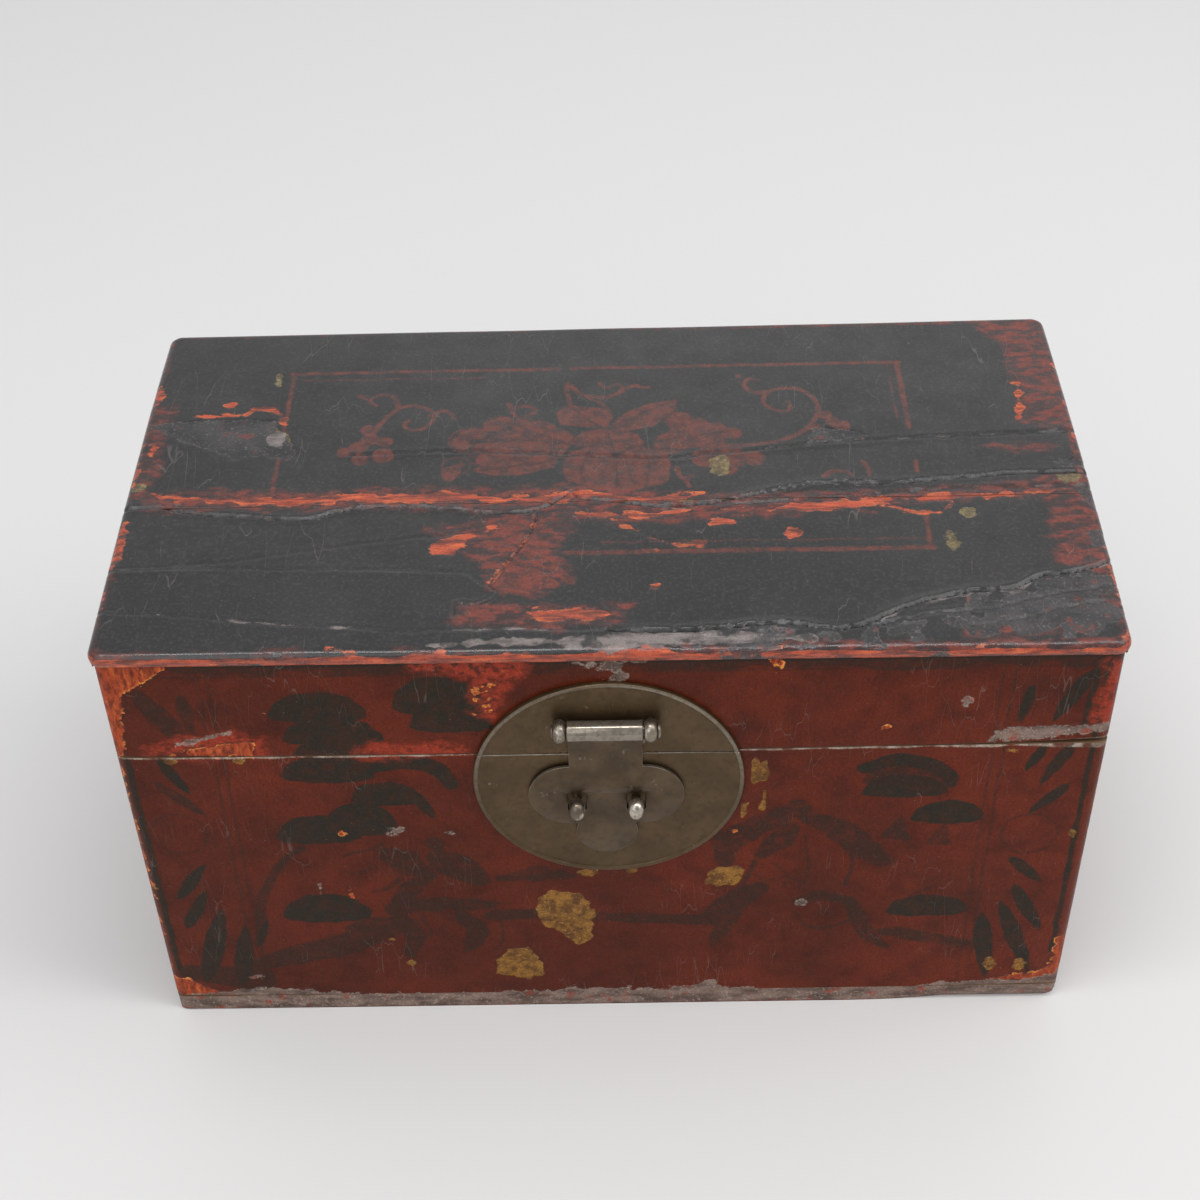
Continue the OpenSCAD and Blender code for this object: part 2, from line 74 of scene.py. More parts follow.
camera_data = bpy.data.cameras.new("camera")
camera_data.sensor_width = SENSOR_WIDTH
camera_data.lens = LENS
camera = bpy.data.objects.new("camera", camera_data)
camera.location = CAMERA_PLACE
camera.rotation_euler = [math.radians(angle) for angle in CAMERA_ANGLES]
bpy.context.scene.collection.objects.link(camera)
bpy.context.scene.camera = camera
print("camera at", CAMERA_PLACE, "and turned", CAMERA_ANGLES[0], "degrees up from straight down")

# %% [markdown]
# ## Floor and light
#
# The trunk stands on a pale floor, and a big soft window lights it from the right. No wall stands
# behind it, because the trunk is looked at from all sides. The world adds light from everywhere, so that
# no colour looks darker than it is. Lacquer is a mirror as much as a colour, so the pale world matters
# as well, and so does a faint lamp behind: they give the black lid its grey sheen. The camera sees the
# world a little darker, as dark as the floor far away, so that no horizon shows.

# %% Floor and light
FLOOR_SIZE = 40.0
FLOOR_COLOUR = (0.74, 0.73, 0.715, 1)
FLOOR_ROUGHNESS = 0.8
SKY_COLOUR = (0.95, 0.97, 1.0, 1)

bpy.ops.mesh.primitive_plane_add(size=FLOOR_SIZE)
floor = bpy.context.object
floor.name = "floor"
floor_material = bpy.data.materials.new("floor")
floor_material.use_nodes = True
floor_shader = floor_material.node_tree.nodes["Principled BSDF"]
floor_shader.inputs["Base Color"].default_value = FLOOR_COLOUR
floor_shader.inputs["Roughness"].default_value = FLOOR_ROUGHNESS
floor.data.materials.append(floor_material)
floor.select_set(False)


def soft_lamp(name, place, target, size, watts):
    """A rectangle of light, turned to face its target."""
    data = bpy.data.lights.new(name, "AREA")
    data.shape = "RECTANGLE"
    data.size, data.size_y = size
    data.energy = watts
    lamp = bpy.data.objects.new(name, data)
    lamp.location = place
    lamp.visible_camera = False
    aim = np.array(target) - np.array(place)
    lamp.rotation_euler = (
        math.atan2(math.hypot(aim[0], aim[1]), -aim[2]), 0, math.atan2(aim[1], aim[0]) - math.pi / 2)
    bpy.context.scene.collection.objects.link(lamp)


soft_lamp("window", place=(1.35, -0.25, 1.65), target=(0, 0, 0.1), size=(1.2, 1.2), watts=11)
soft_lamp("ceiling", place=(0, -0.25, 1.7), target=(0, -0.1, 0.2), size=(1.2, 0.2), watts=7.5)
soft_lamp("room", place=(-0.9, -1.3, 1.6), target=(0, 0, 0.1), size=(1.6, 1.6), watts=8)
soft_lamp("behind", place=(0.3, 1.45, 1.15), target=(0, 0, 0.2), size=(1.4, 0.5), watts=1.1)

WORLD_LIGHT, WORLD_SEEN = 0.68, 0.50
world = bpy.data.worlds.new("world")
world.use_nodes = True
sky = world.node_tree.nodes["Background"]
sky.inputs["Color"].default_value = SKY_COLOUR
seen = world.node_tree.nodes.new("ShaderNodeLightPath")
level = world.node_tree.nodes.new("ShaderNodeMath")
level.operation = "MULTIPLY_ADD"
world.node_tree.links.new(seen.outputs["Is Camera Ray"], level.inputs[0])
level.inputs[1].default_value = WORLD_SEEN - WORLD_LIGHT
level.inputs[2].default_value = WORLD_LIGHT
world.node_tree.links.new(level.outputs["Value"], sky.inputs["Strength"])
bpy.context.scene.world = world
bpy.context.scene.view_settings.view_transform = "Standard"
print("lamps:", len(bpy.data.lights), "and a world of strength", WORLD_LIGHT)

# %% [markdown]
# ## Measures
#
# Every size comes from the working model. The painting was planned in millimetres on the trunk itself:
# across the front from its middle, up from the bench, and back from the front face.

# %% Measures from the working model


def span(node):
    """The lowest and highest corner of a piece, in millimetres."""
    low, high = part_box(node)
    return np.array(low) / MM, np.array(high) / MM


FRONT_LOW, FRONT_HIGH = span("front_board")
BACK_LOW, BACK_HIGH = span("back_board")
BOTTOM_LOW, BOTTOM_HIGH = span("bottom_board")
RAIL_LOW, RAIL_HIGH = span("lid_front_rail")
PLANK_LOW, PLANK_HIGH = span("top_plank_front")
REAR_LOW, REAR_HIGH = span("top_plank_back")
HALF = FRONT_HIGH[0]
FACE = FRONT_LOW[1]
PARTING = FRONT_HIGH[2]
WALL = FRONT_HIGH[1] - FRONT_LOW[1]
CROWN_TOP = REAR_HIGH[2]
print(f"front {2 * HALF:.1f} mm long, parting line {PARTING:.1f} mm up, boards {WALL:.1f} mm thick")

# %% [markdown]
# ## Drawing with distances
#
# Each helper below returns, for every point, the distance in millimetres to the edge of one shape:
# below zero inside and above zero outside. The nearest of many shapes is simply the smallest value, so
# a painting is built by collecting strokes. Old brushwork is never exact, so a little smooth noise
# bends the points before they are measured.

# %% Smooth noise
FAR = 1000.0
NOISE_CELLS = 128


def ripple(a, b, size, seed):
    """Smooth waves between -1 and 1, about `size` millimetres across, the same on every run."""
    table = np.random.default_rng(seed).uniform(-1, 1, (NOISE_CELLS, NOISE_CELLS))
    u = a / size + 4 * NOISE_CELLS
    v = b / size + 4 * NOISE_CELLS
    i, j = np.floor(u).astype(int), np.floor(v).astype(int)
    s, t = u - i, v - j
    s, t = s * s * (3 - 2 * s), t * t * (3 - 2 * t)
    corners = [(0, 0), (1, 0), (0, 1), (1, 1)]
    values = [table[(i + m) % NOISE_CELLS, (j + n) % NOISE_CELLS] for m, n in corners]
    near, far = values[0] * (1 - s) + values[1] * s, values[2] * (1 - s) + values[3] * s
    return near * (1 - t) + far * t


def rough(a, b, size, seed):
    """Noise with three sizes of wave on top of each other."""
    return sum(ripple(a, b, size / 2 ** k, seed + k) / 2 ** k for k in range(3)) / 1.75


# %% Shapes as distances


def oval(p, centre, radii):
    a, b = p[0] - centre[0], p[1] - centre[1]
    k = np.hypot(a / radii[0], b / radii[1])
    slope = np.hypot(a / radii[0] ** 2, b / radii[1] ** 2) + 1e-6
    return k * (k - 1) / slope


def flow(points, steps=5):
    """A smooth line through a few points."""
    points = [np.array(q, float) for q in points]
    points = [2 * points[0] - points[1]] + points + [2 * points[-1] - points[-2]]
    line = []
    for a, b, c, d in zip(points, points[1:], points[2:], points[3:]):
        for t in np.linspace(0, 1, steps, endpoint=False):
            line.append(0.5 * (2 * b + (c - a) * t + (2 * a - 5 * b + 4 * c - d) * t ** 2
                               + (3 * b - a - 3 * c + d) * t ** 3))
    return line + [points[-2]]


def stroke(p, points, widths, smooth=True):
    """A brush stroke along the points: `widths` are spread evenly from its start to its end."""
    line = flow(points) if smooth else [np.array(q, float) for q in points]
    widths = np.atleast_1d(widths).astype(float)
    width = np.interp(np.linspace(0, 1, len(line)), np.linspace(0, 1, len(widths)), widths) \
        if len(widths) > 1 else np.full(len(line), widths[0])
    nearest = np.full(p[0].shape, FAR)
    for a, b, w0, w1 in zip(line, line[1:], width, width[1:]):
        step = b - a
        t = ((p[0] - a[0]) * step[0] + (p[1] - a[1]) * step[1]) / max(step @ step, 1e-6)
        t = np.clip(t, 0, 1)
        away = np.hypot(p[0] - a[0] - t * step[0], p[1] - a[1] - t * step[1])
        nearest = np.minimum(nearest, away - (w0 + (w1 - w0) * t) / 2)
    return nearest


def patch(p, points):
    """A closed outline with straight sides, filled."""
    edge = np.full(p[0].shape, FAR)
    inside = np.zeros(p[0].shape, bool)
    for a, b in zip(points, points[1:] + points[:1]):
        step = np.array(b, float) - np.array(a, float)
        t = np.clip(((p[0] - a[0]) * step[0] + (p[1] - a[1]) * step[1]) / max(step @ step, 1e-6), 0, 1)
        edge = np.minimum(edge, np.hypot(p[0] - a[0] - t * step[0], p[1] - a[1] - t * step[1]))
        rises = (a[1] > p[1]) != (b[1] > p[1])
        if abs(step[1]) > 1e-6:
            inside ^= rises & (p[0] < a[0] + (p[1] - a[1]) * step[0] / step[1])
    return np.where(inside, -edge, edge)


def leaf(p, root, tip, width):
    """A slim leaf, widest a little before its middle."""
    root, tip = np.array(root, float), np.array(tip, float)
    t = np.linspace(0, 1, 9)
    widths = width * np.sin(np.pi * t ** 0.85) ** 0.7 + 0.3
    return stroke(p, [root + (tip - root) * k for k in t], widths, False)


def clump(p, left, right, base, top):
    """A tuft of pine needles: a round top and a shallow round underside."""
    centre, half_width = (left + right) / 2, (right - left) / 2
    radius = np.where(p[1] > base, top - base, (top - base) * 0.3)
    a, b = (p[0] - centre) / half_width, (p[1] - base) / radius
    k = np.hypot(a, b)
    slope = np.hypot(a / half_width, b / radius) + 1e-6
    return k * (k - 1) / slope + 0.25 * np.cos(np.arctan2(b, a) * 11)


def union(*layers):
    return np.minimum.reduce(layers)


def bent(p, size, amount, seed):
    """The same points, pushed about a little, so that edges come out as if by hand."""
    across = amount * ripple(p[0], p[1], size, seed)
    up = amount * ripple(p[0], p[1], size, seed + 50)
    return p[0] + across, p[1] + up


# %% [markdown]
# ## What is painted on the front
#
# The front shows a garden in dark brown on red: pines with tufts like umbrellas on the left and the
# right, upright leaves in a narrow panel at each end, hills, and people in long robes between them.
# It is a common subject on such trunks. Everything is drawn here from plain shapes, and the people
# keep only their outlines. Lid and case share one painting, which the parting line cuts in two.

# %% Tufts, leaves and trunk on the front
# Each tuft: its left and right end, its base and its top.
TUFTS = [
    (-127.5, -90.5, 177.5, 190), (-123.5, -85.5, 165.5, 176.5), (-120, -92, 158, 164.5),
    (-81, -46, 181.5, 197), (-75, -44, 172, 185), (-127, -90, 145, 157), (-101, -73, 131, 141),
    (-113.5, -84, 115, 130), (-132.5, -99, 110, 123), (-135.5, -99.5, 61.5, 75.5),
    (96.5, 130, 131, 141), (117, 145.5, 115.5, 126), (111.5, 145, 59, 69.5),
]
# Each arc: points from one end to the other, and the brush's widths along them.
TUFT_ARCS = [
    ([(-93, 150), (-82, 152.5), (-70, 151), (-63.5, 144), (-61.5, 139)], (7, 8, 7, 5)),
    ([(-96, 137), (-84, 138), (-76, 132), (-71.5, 125), (-70, 121)], (6, 7, 5, 2)),
    ([(97, 144.5), (104, 148), (113, 149), (123, 146), (130, 140), (131, 136)], (6, 6.5, 7, 6, 5)),
]
# Each leaf: its root, its tip and its width.
LEAVES = [
    ((-178, 73), (-163, 95), 5.5), ((-177, 54), (-165, 78.5), 6), ((-174, 18), (-160.5, 68), 9),
    ((-158.5, 16), (-152.5, 57), 7.5), ((-148.5, 42), (-143, 60), 3), ((-172.5, 156), (-163, 136), 5),
    ((158.5, 92), (173, 76), 5.5), ((161.5, 76), (176, 45), 6), ((157.5, 65.5), (175, 17), 7.5),
    ((150.5, 58), (157, 14), 8), ((165.5, 157), (158.5, 142), 4.5), ((175, 156.5), (165, 134), 5.5),
    ((176.5, 134.5), (163, 118), 5), ((156, 188.5), (153.5, 167.5), 4),
    ((177.5, 196), (165.5, 167.5), 6.5),
]
FAINT_LEAVES = [
    ((-176, 143), (-158.5, 124), 5), ((-175, 192), (-164, 166), 7.5), ((-159, 190), (-157, 168), 5.5),
    ((-168, 184), (-159, 163), 5),
]
BORDERS_AND_PAINTED_SHADE = [
    ([(-184, 156), (-184, 28)], 2.6), ([(182.6, 200), (182.6, 32)], 2.4),
    # The line at 203.5 mm, just under the top's overhanging edge, is painted shade beneath that edge.
    ([(-150, 203.5), (184, 203.5)], 2.6), ([(179.5, 201), (177, 160)], (3, 2)),
]
PINE_TRUNK = [(-123.5, 104), (-132, 96), (-138.5, 84), (-143.5, 72), (-146, 58), (-148.5, 43)]


def front_dark(p):
    p = bent(p, 5, 0.5, 11)
    return union(
        *[clump(p, *tuft) for tuft in TUFTS],
        *[stroke(p, line, widths) for line, widths in TUFT_ARCS],
        *[leaf(p, *one) for one in LEAVES], *[stroke(p, line, widths, False) for line, widths in BORDERS_AND_PAINTED_SHADE])


# %% Robes, hills and borders on the front, and painted shade under the top's edge
ROBES = [
    ([(44, 92), (46, 104), (56, 112), (66, 119), (77, 122)], (8, 13, 12, 9, 4)),
    ([(60, 96), (66, 104), (70, 111)], (7, 11, 8)),
    ([(73, 119), (86, 112), (98, 101), (108, 91)], (5, 11, 13, 8)),
    ([(41, 62), (50, 68), (59, 75)], (8, 13, 7)), ([(48, 62), (45, 51), (41, 40)], (9, 9, 4)),
    ([(74, 66), (84, 70), (96, 67)], (4, 6, 4)),
    ([(95, 66), (101, 56), (104, 46), (113, 36)], (5, 8, 8, 3)),
    ([(-91, 101), (-84, 95), (-77, 88)], (6, 14, 9)), ([(-71, 97), (-62, 91), (-53, 83)], (8, 16, 8)),
    ([(-75, 86), (-82, 78), (-88, 70)], (5, 8, 6)), ([(-90, 65), (-74, 68), (-51, 67)], (9, 9, 6)),
    ([(-88, 60), (-83, 48), (-86, 36)], (8, 10, 4)), ([(-62, 60), (-57, 50), (-61, 38)], (7, 10, 4)),
    ([(-46, 84), (-30, 86), (-16, 84)], (4, 9, 3)),
]
ROBE_LINES = [
    ([(92, 100), (96, 90), (94, 76)], 1.8), ([(57, 92), (54, 82), (50, 74)], (2, 3)),
    ([(74, 60), (78, 52), (88, 49), (97, 55), (98, 64)], 1.2), ([(76, 107), (78, 88), (77, 72)], 0.9),
    ([(-107, 98), (-103, 101), (-97, 102), (-91, 106)], (1.6, 1.2)),
    ([(-86, 84), (-92, 78), (-98, 76)], (3, 2)), ([(-96, 92), (-102, 88), (-108, 89)], 1.0),
    ([(-80, 62), (-76, 50), (-84, 42)], 1.2), ([(-48, 62), (-46, 48), (-50, 38)], 1.2),
    ([(56, 84), (62, 80), (70, 82), (76, 78)], 1.0), ([(118, 62), (122, 70), (128, 74)], 1.0),
    ([(64, 90), (70, 84), (69, 76)], 1.0),
]
GROUND_LINES = [
    ([(-150, 30), (-134, 36), (-118, 41), (-104, 47), (-90, 53)], (7, 12, 14, 13, 8)),
    ([(-110, 53), (-98, 57), (-88, 57)], (4, 7, 4)),
    ([(-50, 60), (-20, 61), (0, 58), (44, 55)], (7, 6, 6, 7)),
    ([(110, 46), (118, 46), (128, 42), (146, 38)], (4, 7, 7, 5)),
]
HILLS = [[(105, 104), (113, 119.5), (119, 102)], [(123, 100), (130.5, 114), (135, 99)]]


def front_soft(p):
    p = bent(p, 6, 0.6, 21)
    hoop = [np.abs(oval(p, centre, (11.3, 11.3))) - 0.4 for centre in ((-171, 113), (164.5, 106))]
    return union(
        *[stroke(p, line, w) + ripple(*p, 4, 23) for line, w in ROBES],
        *[stroke(p, line, w) for line, w in ROBE_LINES], *[leaf(p, *one) for one in FAINT_LEAVES],
        *[stroke(p, line, w) for line, w in GROUND_LINES], *[patch(p, hill) + 0.3 for hill in HILLS], *hoop,
        oval(p, (72.5, 125.5), (3.4, 2.6)), oval(p, (-70.5, 105), (4.2, 4)), clump(p, 97, 131, 137, 148),
        stroke(p, PINE_TRUNK, (3, 4, 4.5, 4)),
        # A soft dark band just under the top's overhanging edge: painted shade beneath it.
        stroke(p, [(-158, 203), (188, 203)], (7, 10, 9), False) + 2.4 * ripple(*p, 9, 25),
        *[stroke(p, [(x, 197), (x, 17)], 0.9, False) for x in (-151.6, -147.6, 144.8, 148.9)],
        stroke(p, [(-182, 198), (182, 198)], 0.8, False), stroke(p, [(-180, 26), (-152, 20)], (10, 16)),
    )


# %% [markdown]
# ## What the years took off the front
#
# Lacquer sits on a grey ground of clay and glue, over a coat of bright red. Where it is knocked off,
# the red or the grey shows, and at a few spots an ochre stain. These patches are kept apart, because
# each has its own colour, its own gloss and its own depth.

# %% Bared red, grey ground and ochre on the front
BARED_FRONT = [
    [(-191, 209), (-161, 205), (-161, 202.5), (-170, 198), (-175, 193), (-179, 189), (-181.5, 180.5),
     (-182, 170.5), (-184.5, 157), (-191, 157)],
    [(-172, 157), (-160, 160), (-150, 162), (-140, 166), (-134, 163), (-136, 157)],
    [(56, 209), (65.5, 209), (64, 201), (60, 199.5)],
    [(-191, 21), (-181, 20), (-172, 14), (-160, 11), (-160, 7), (-191, 7)],
    [(183, 40), (191, 42), (191, 10), (160, 12), (158, 15), (178, 17), (184, 24)],
]
RUBBED_FRONT = [
    [(-72, 207), (-27, 207), (-33, 196), (-40, 186), (-45, 174), (-50, 178), (-50, 193), (-60, 197),
     (-75, 199)],
    [(-97, 156), (-53, 156), (-55, 162), (-70, 163.5), (-88, 162)],
    [(-176, 157), (-175, 162), (-162, 166), (-150, 168.5), (-143, 171.5), (-133, 167), (-132, 156)],
    [(183, 200), (189.5, 200), (189.5, 165), (181, 166), (183, 180)],
]
GROUND_EDGE = [
    (-191, 9), (-172, 11.8), (-155, 14.3), (-130, 13), (-127, 10.5), (-100, 9), (-75, 7.5), (-50, 8.5),
    (-25, 9.5), (-10, 11), (22, 10.5), (42, 15.5), (44, 10.5), (75, 7), (100, 6.5), (125, 8),
    (145, 11.8), (160, 13.5), (175, 11.8), (186, 15.5), (191, 22),
]
OCHRE_FRONT = [
    [(-31, 70.5), (-25, 75), (-14, 73.5), (-9, 68), (-8, 58), (-9, 45.5), (-14.5, 40), (-20, 45.5),
     (-24, 50), (-30, 54), (-32, 62.5)],
    [(-50, 30.5), (-44, 37), (-36, 39.5), (-32, 32), (-31, 20.5), (-36, 17), (-42.5, 20.5), (-50, 22)],
    [(37.5, 81.5), (42, 88), (50, 89), (52.5, 86), (51, 79), (45, 76.5), (38, 78)],
]
SMEAR = [(50, 151), (60, 151), (60, 143), (57, 135), (60, 125), (54, 115), (50, 119), (48, 133)]
LIFTED_FRONT = [(141, 156.5), (143, 164.5), (149, 166.5), (187, 165.5), (189.5, 159), (170, 157.5)]
# Each spot: its middle across and up, and its two radii.
OCHRE_SPOTS = [
    (-10.5, 86.5, 4.3, 2.1), (7.5, 87, 2.2, 1.5), (-92.8, 45.5, 1.8, 1.2), (181.5, 105.5, 1.3, 2.6),
    (152, 153.3, 2.5, 0.9), (-185.7, 80, 1.2, 1.2), (157.5, 24, 2.6, 4.2), (170, 23, 2.6, 4),
    (-5, 205, 2, 1.6), (-168, 154.5, 2.4, 1.2), (-142, 154.5, 2.2, 1.5), (-86, 30, 1.6, 2),
]
PALE_SPECKS = [
    (-84.5, 113, 2.6, 1.3), (-88, 112.2, 1.2, 1.2), (76.5, 66, 2.6, 1.8), (133, 180.5, 1.7, 3),
    (-152, 22, 3, 1.5), (-119, 78, 0.8, 3), (-64, 112, 2, 1.4), (0.5, 200.5, 4.5, 3),
    (3.5, 195.8, 2.6, 2.2), (-8, 202, 4, 1), (9, 203.5, 5, 1), (-1, 191.5, 2.2, 1.4),
]
RED_DROPS = [
    (-107, 112.5, 1.1, 1.2), (-106.8, 77, 0.8, 3), (-106.8, 73.5, 1.2, 1.6), (47.7, 110, 0.9, 0.9),
    (-129.5, 179.7, 0.9, 0.9), (103, 166.5, 2.4, 1.2),
]


def front_bared(p):
    edge = rough(p[0], p[1], 9, 31)
    q = bent(p, 4, 1.0, 33)
    wear = union(*[patch(q, outline) for outline in BARED_FRONT]) + 0.8 * edge
    reach = np.where(p[0] > 0, 0.4, 1.4) + 1.4 * ripple(p[1], p[0], 13, 37)
    corners = np.abs(np.abs(p[0]) - HALF - 0.3) - reach
    hatch = stroke(p, [(-50, 191), (-41, 192.5)], 1.0, False)
    for k, z in enumerate((188, 184.5, 181, 178)):
        hatch = union(hatch, stroke(p, [(-50, z), (-41.5 - k, z + 1)], 1.2, False))
    drops = union(*[oval(p, spot[:2], spot[2:]) for spot in RED_DROPS])
    return union(wear, corners, hatch, drops)


def front_rubbed(p):
    return union(*[patch(bent(p, 9, 2.5, 39), outline) for outline in RUBBED_FRONT])


SEAM_X = (-189, -60, -40, 40, 60, 140, 165, 189)
SEAM_WIDTH = (0.8, 0.6, 0.35, 0.4, 0.6, 0.8, 1.5, 2.6)


def seam(p):
    """The pale worn edge along the parting line, broad on the case and thin on the lid."""
    width = np.interp(p[0], SEAM_X, SEAM_WIDTH) * (0.75 + 0.6 * ripple(p[0], p[1] * 0, 8, 47))
    return np.abs(p[1] - PARTING) - width * np.where(p[1] > PARTING + 0.1, 0.45, 1)


def front_ground(p):
    foot = [(-195, -9)] + GROUND_EDGE + [(195, -9)]
    ridge = stroke(p, [(-164, 163.5), (-152, 166.5), (-143, 170)], (2.2, 1.2), False)
    return union(
        patch(bent(p, 3, 0.9, 41), foot) + 1.1 * rough(p[0], p[1], 7, 43), ridge,
        patch(p, LIFTED_FRONT) + 1.2,
        *[oval(bent(p, 1.5, 0.4, 45), spot[:2], spot[2:]) for spot in PALE_SPECKS])


def front_ochre(p):
    q = bent(p, 3.5, 1.3, 51)
    return union(
        *[patch(q, outline) for outline in OCHRE_FRONT],
        np.maximum(patch(q, SMEAR), -1.5) + 1.5 + 3.0 * ripple(p[0], p[1] / 5, 2.2, 53),
        *[oval(bent(p, 1.5, 0.5, 55), spot[:2], spot[2:]) for spot in OCHRE_SPOTS])


# %% [markdown]
# The ends and the back were never painted with pictures. They carry plain red lacquer, with knocks
# near their edges and a rubbed path under each handle.

# %% Wear on the ends and the back


def plain_bared(p):
    near_edge = np.clip(1 - np.minimum(p[1] - 9, CROWN_TOP - 8 - p[1]) / 24, 0, 1)
    return 8.4 - 3.4 * near_edge - 13 * rough(p[0], p[1], 15, 261)


def plain_ground(p):
    near_foot = np.clip(1 - (p[1] - 9) / 30, 0, 1)
    foot = p[1] - 11 - 2.4 * rough(p[0], p[1], 9, 263)
    return union(foot, 10.2 - 2.8 * near_foot - 15 * rough(p[0], p[1], 11, 265))


def handle_rubbed(p):
    path = stroke(p, [(-27, 84), (-22, 78), (0, 76.5), (22, 78), (27, 84)], (3, 6, 5, 6, 3))
    return union(path + 2 * rough(p[0], p[1], 6, 267), 6.5 - 12 * rough(p[0], p[1], 28, 269))


# %% [markdown]
# ## What is painted on the lid's top
#
# The black top carries a red-brown frame line, a lotus in the middle with lobed leaves, and a thin
# scroll on each side. The first number of each point is across the top from its middle, and the second
# is how far the point lies behind the front face.

# %% Lotus, leaves and scrolls on the top
PETALS = [
    [(-16, 145.5), (-2.5, 143), (3, 137), (0, 128.5), (-9, 130), (-19, 132), (-20.5, 140)],
    [(0, 127.5), (7.5, 139), (17.5, 145.5), (29.5, 148), (28, 140), (20, 130), (10, 127)],
    [(-10, 127), (0, 129), (12.5, 125), (15, 118), (4, 112), (-7.5, 115.5), (-16, 119)],
    [(-18, 105.5), (-15, 114), (-2.5, 117), (4, 110.5), (4, 87), (-7.5, 90.5), (-16, 95.5)],
    [(4, 110.5), (12.5, 117), (24, 113), (26, 104), (24, 93), (15, 89), (4, 87)],
    [(-54, 102), (-47.5, 108), (-35, 112), (-20, 110.5), (-21, 104), (-35, 99), (-45, 99)],
]
# Each lobe: its middle across and back, and its radius.
LOBES = [
    (30, 133, 6), (36, 129, 6), (44, 125.5, 6), (51, 124, 4), (32.5, 122, 8), (42.5, 118, 5),
    (40, 108, 6), (50, 108, 6.5), (59, 107, 4.5), (26, 118, 7), (47.5, 101, 4.5), (-97.5, 130.5, 3.3),
    (-96, 124, 3.6), (-100, 119, 4), (-90, 122, 3.3), (-106, 115.5, 3.2), (-90, 113, 4.5),
    (-99, 110.5, 3.6), (90, 135.5, 2.8), (92.5, 130.5, 3.2), (96, 128, 3.2), (85, 127, 2.6),
    (55.5, 164, 1.4),
]
WORN_LOBES = [
    (-56, 122, 8), (-47.5, 124, 7), (-44, 132, 6.5), (-35, 132, 6), (-27.5, 127, 7.5), (-20, 122, 6.5),
    (-37.5, 119, 9), (-25, 115.5, 8), (-50, 113, 7), (-60, 105.5, 5.5), (-62.5, 101, 3.5),
]
SCROLLS = [
    [(-100, 112), (-99, 119), (-95, 128), (-91, 138), (-86, 145.5), (-79, 147), (-72, 143), (-71, 137),
     (-75, 131), (-80.5, 130.5), (-83, 134), (-81, 137)],
    [(-86, 146), (-87.5, 152.5), (-92.5, 155.5), (-97, 154), (-98, 150), (-95.5, 148)],
    [(-103, 155), (-100, 152.5)], [(-72, 140), (-67.5, 143), (-64, 140.5), (-62.5, 137.5)],
    [(34, 116), (50, 115.5), (65, 117), (75, 121), (82.5, 128), (87, 138), (86, 147), (81, 153),
     (74, 155), (67.5, 152), (65, 145.5), (68, 140), (74, 138), (76, 141.5), (75, 145)],
    [(67.5, 152.5), (61, 152.5), (57.5, 157), (60, 162), (64.5, 160.5)],
    [(-16, 161), (-16, 153), (-14.5, 145)], [(-15.5, 160.5), (-11, 153.5), (-2.5, 147), (1, 140.5)],
    [(-8, 152), (0, 150.5), (6, 154), (7, 158), (4, 159.5), (1, 157.5), (-1, 158), (-3, 161)],
    [(7, 155.5), (12, 158.5), (15, 157), (18, 157)], [(-40.5, 147), (-39, 142), (-36, 136)],
    [(-39, 144), (-34, 146), (-30, 144), (-29.5, 141), (-32.5, 139)],
    [(28, 102), (29, 97), (31, 95), (34, 97)], [(31, 95), (32.5, 90)],
    [(86, 95), (89, 98), (94, 98), (97, 95)], [(102, 104), (104, 99), (104, 95)],
    [(96, 77), (99, 73.5), (104, 72.5)],
]
FRAME_LINES = [
    ([(-133, 172.3), (-20, 172.3)], 2.2), ([(-14.5, 172.3), (124, 172.3)], 2.2),
    ([(-128, 167), (-50, 166.8)], 0.8), ([(123, 172.3), (123, 125.5)], 2.2),
    ([(123, 104), (123, 97)], 1.8), ([(123, 73), (123, 51.8)], 1.8),
    ([(118.8, 171), (118.8, 132)], 0.7), ([(-132, 172), (-132, 88)], 1.8),
    ([(-16, 51.8), (124, 51.8)], 2.4), ([(-2.5, 57.3), (122, 57.3)], 0.7),
]
BRUSHED = [
    (-27, 74), (-25, 63), (-21, 53), (-15, 44), (-11, 37), (-25, 30.5), (-40, 27), (-45, 33), (-42, 43),
    (-35, 53), (-30, 63),
]
VEINS = [
    [(0, 127.5), (-8, 136), (-16, 145)], [(0, 127.5), (14, 138), (29, 148)],
    [(0, 128), (3, 112), (4, 88)], [(-6, 116), (-10, 104), (-8, 91)], [(14, 116), (17, 104), (15, 90)],
    [(-20, 108), (-36, 105), (-53, 102)], [(-16, 119), (-34, 122), (-56, 120)],
    [(-16, 119), (-30, 128), (-40, 134)], [(15, 118), (32, 122), (50, 125)],
    [(16, 116), (38, 112), (60, 107)], [(-18, 105), (-15, 114), (-3, 117), (4, 110)],
    [(4, 110), (12, 117), (24, 113)], [(3, 137), (8, 131), (1, 128)],
]


def worn_lobe(p, lobe):
    """A lobe that hands have nearly rubbed away: its outline is left, and its filling here and there."""
    shape = oval(p, lobe[:2], (lobe[2], lobe[2]))
    return union(np.abs(shape) - 0.35, np.maximum(shape, -2) + 1.0 + 5 * rough(p[0], p[1], 9, 67))


def top_painted(p):
    p = bent(p, 5, 0.35, 61)
    streaks = ripple(p[0] + p[1], (p[0] - p[1]) / 6, 2.4, 63)
    return union(
        *[patch(p, petal) for petal in PETALS], *[oval(p, lobe[:2], (lobe[2], lobe[2])) for lobe in LOBES],
        *[worn_lobe(p, lobe) for lobe in WORN_LOBES],
        *[stroke(p, line, (2.4, 2.0, 1.6)) for line in SCROLLS],
        *[stroke(p, line, width, False) for line, width in FRAME_LINES],
        np.maximum(patch(p, BRUSHED), -1.5) + 0.7 + 3.0 * streaks)


def top_veins(p):
    return union(*[stroke(bent(p, 5, 0.3, 65), line, 1.1) for line in VEINS])


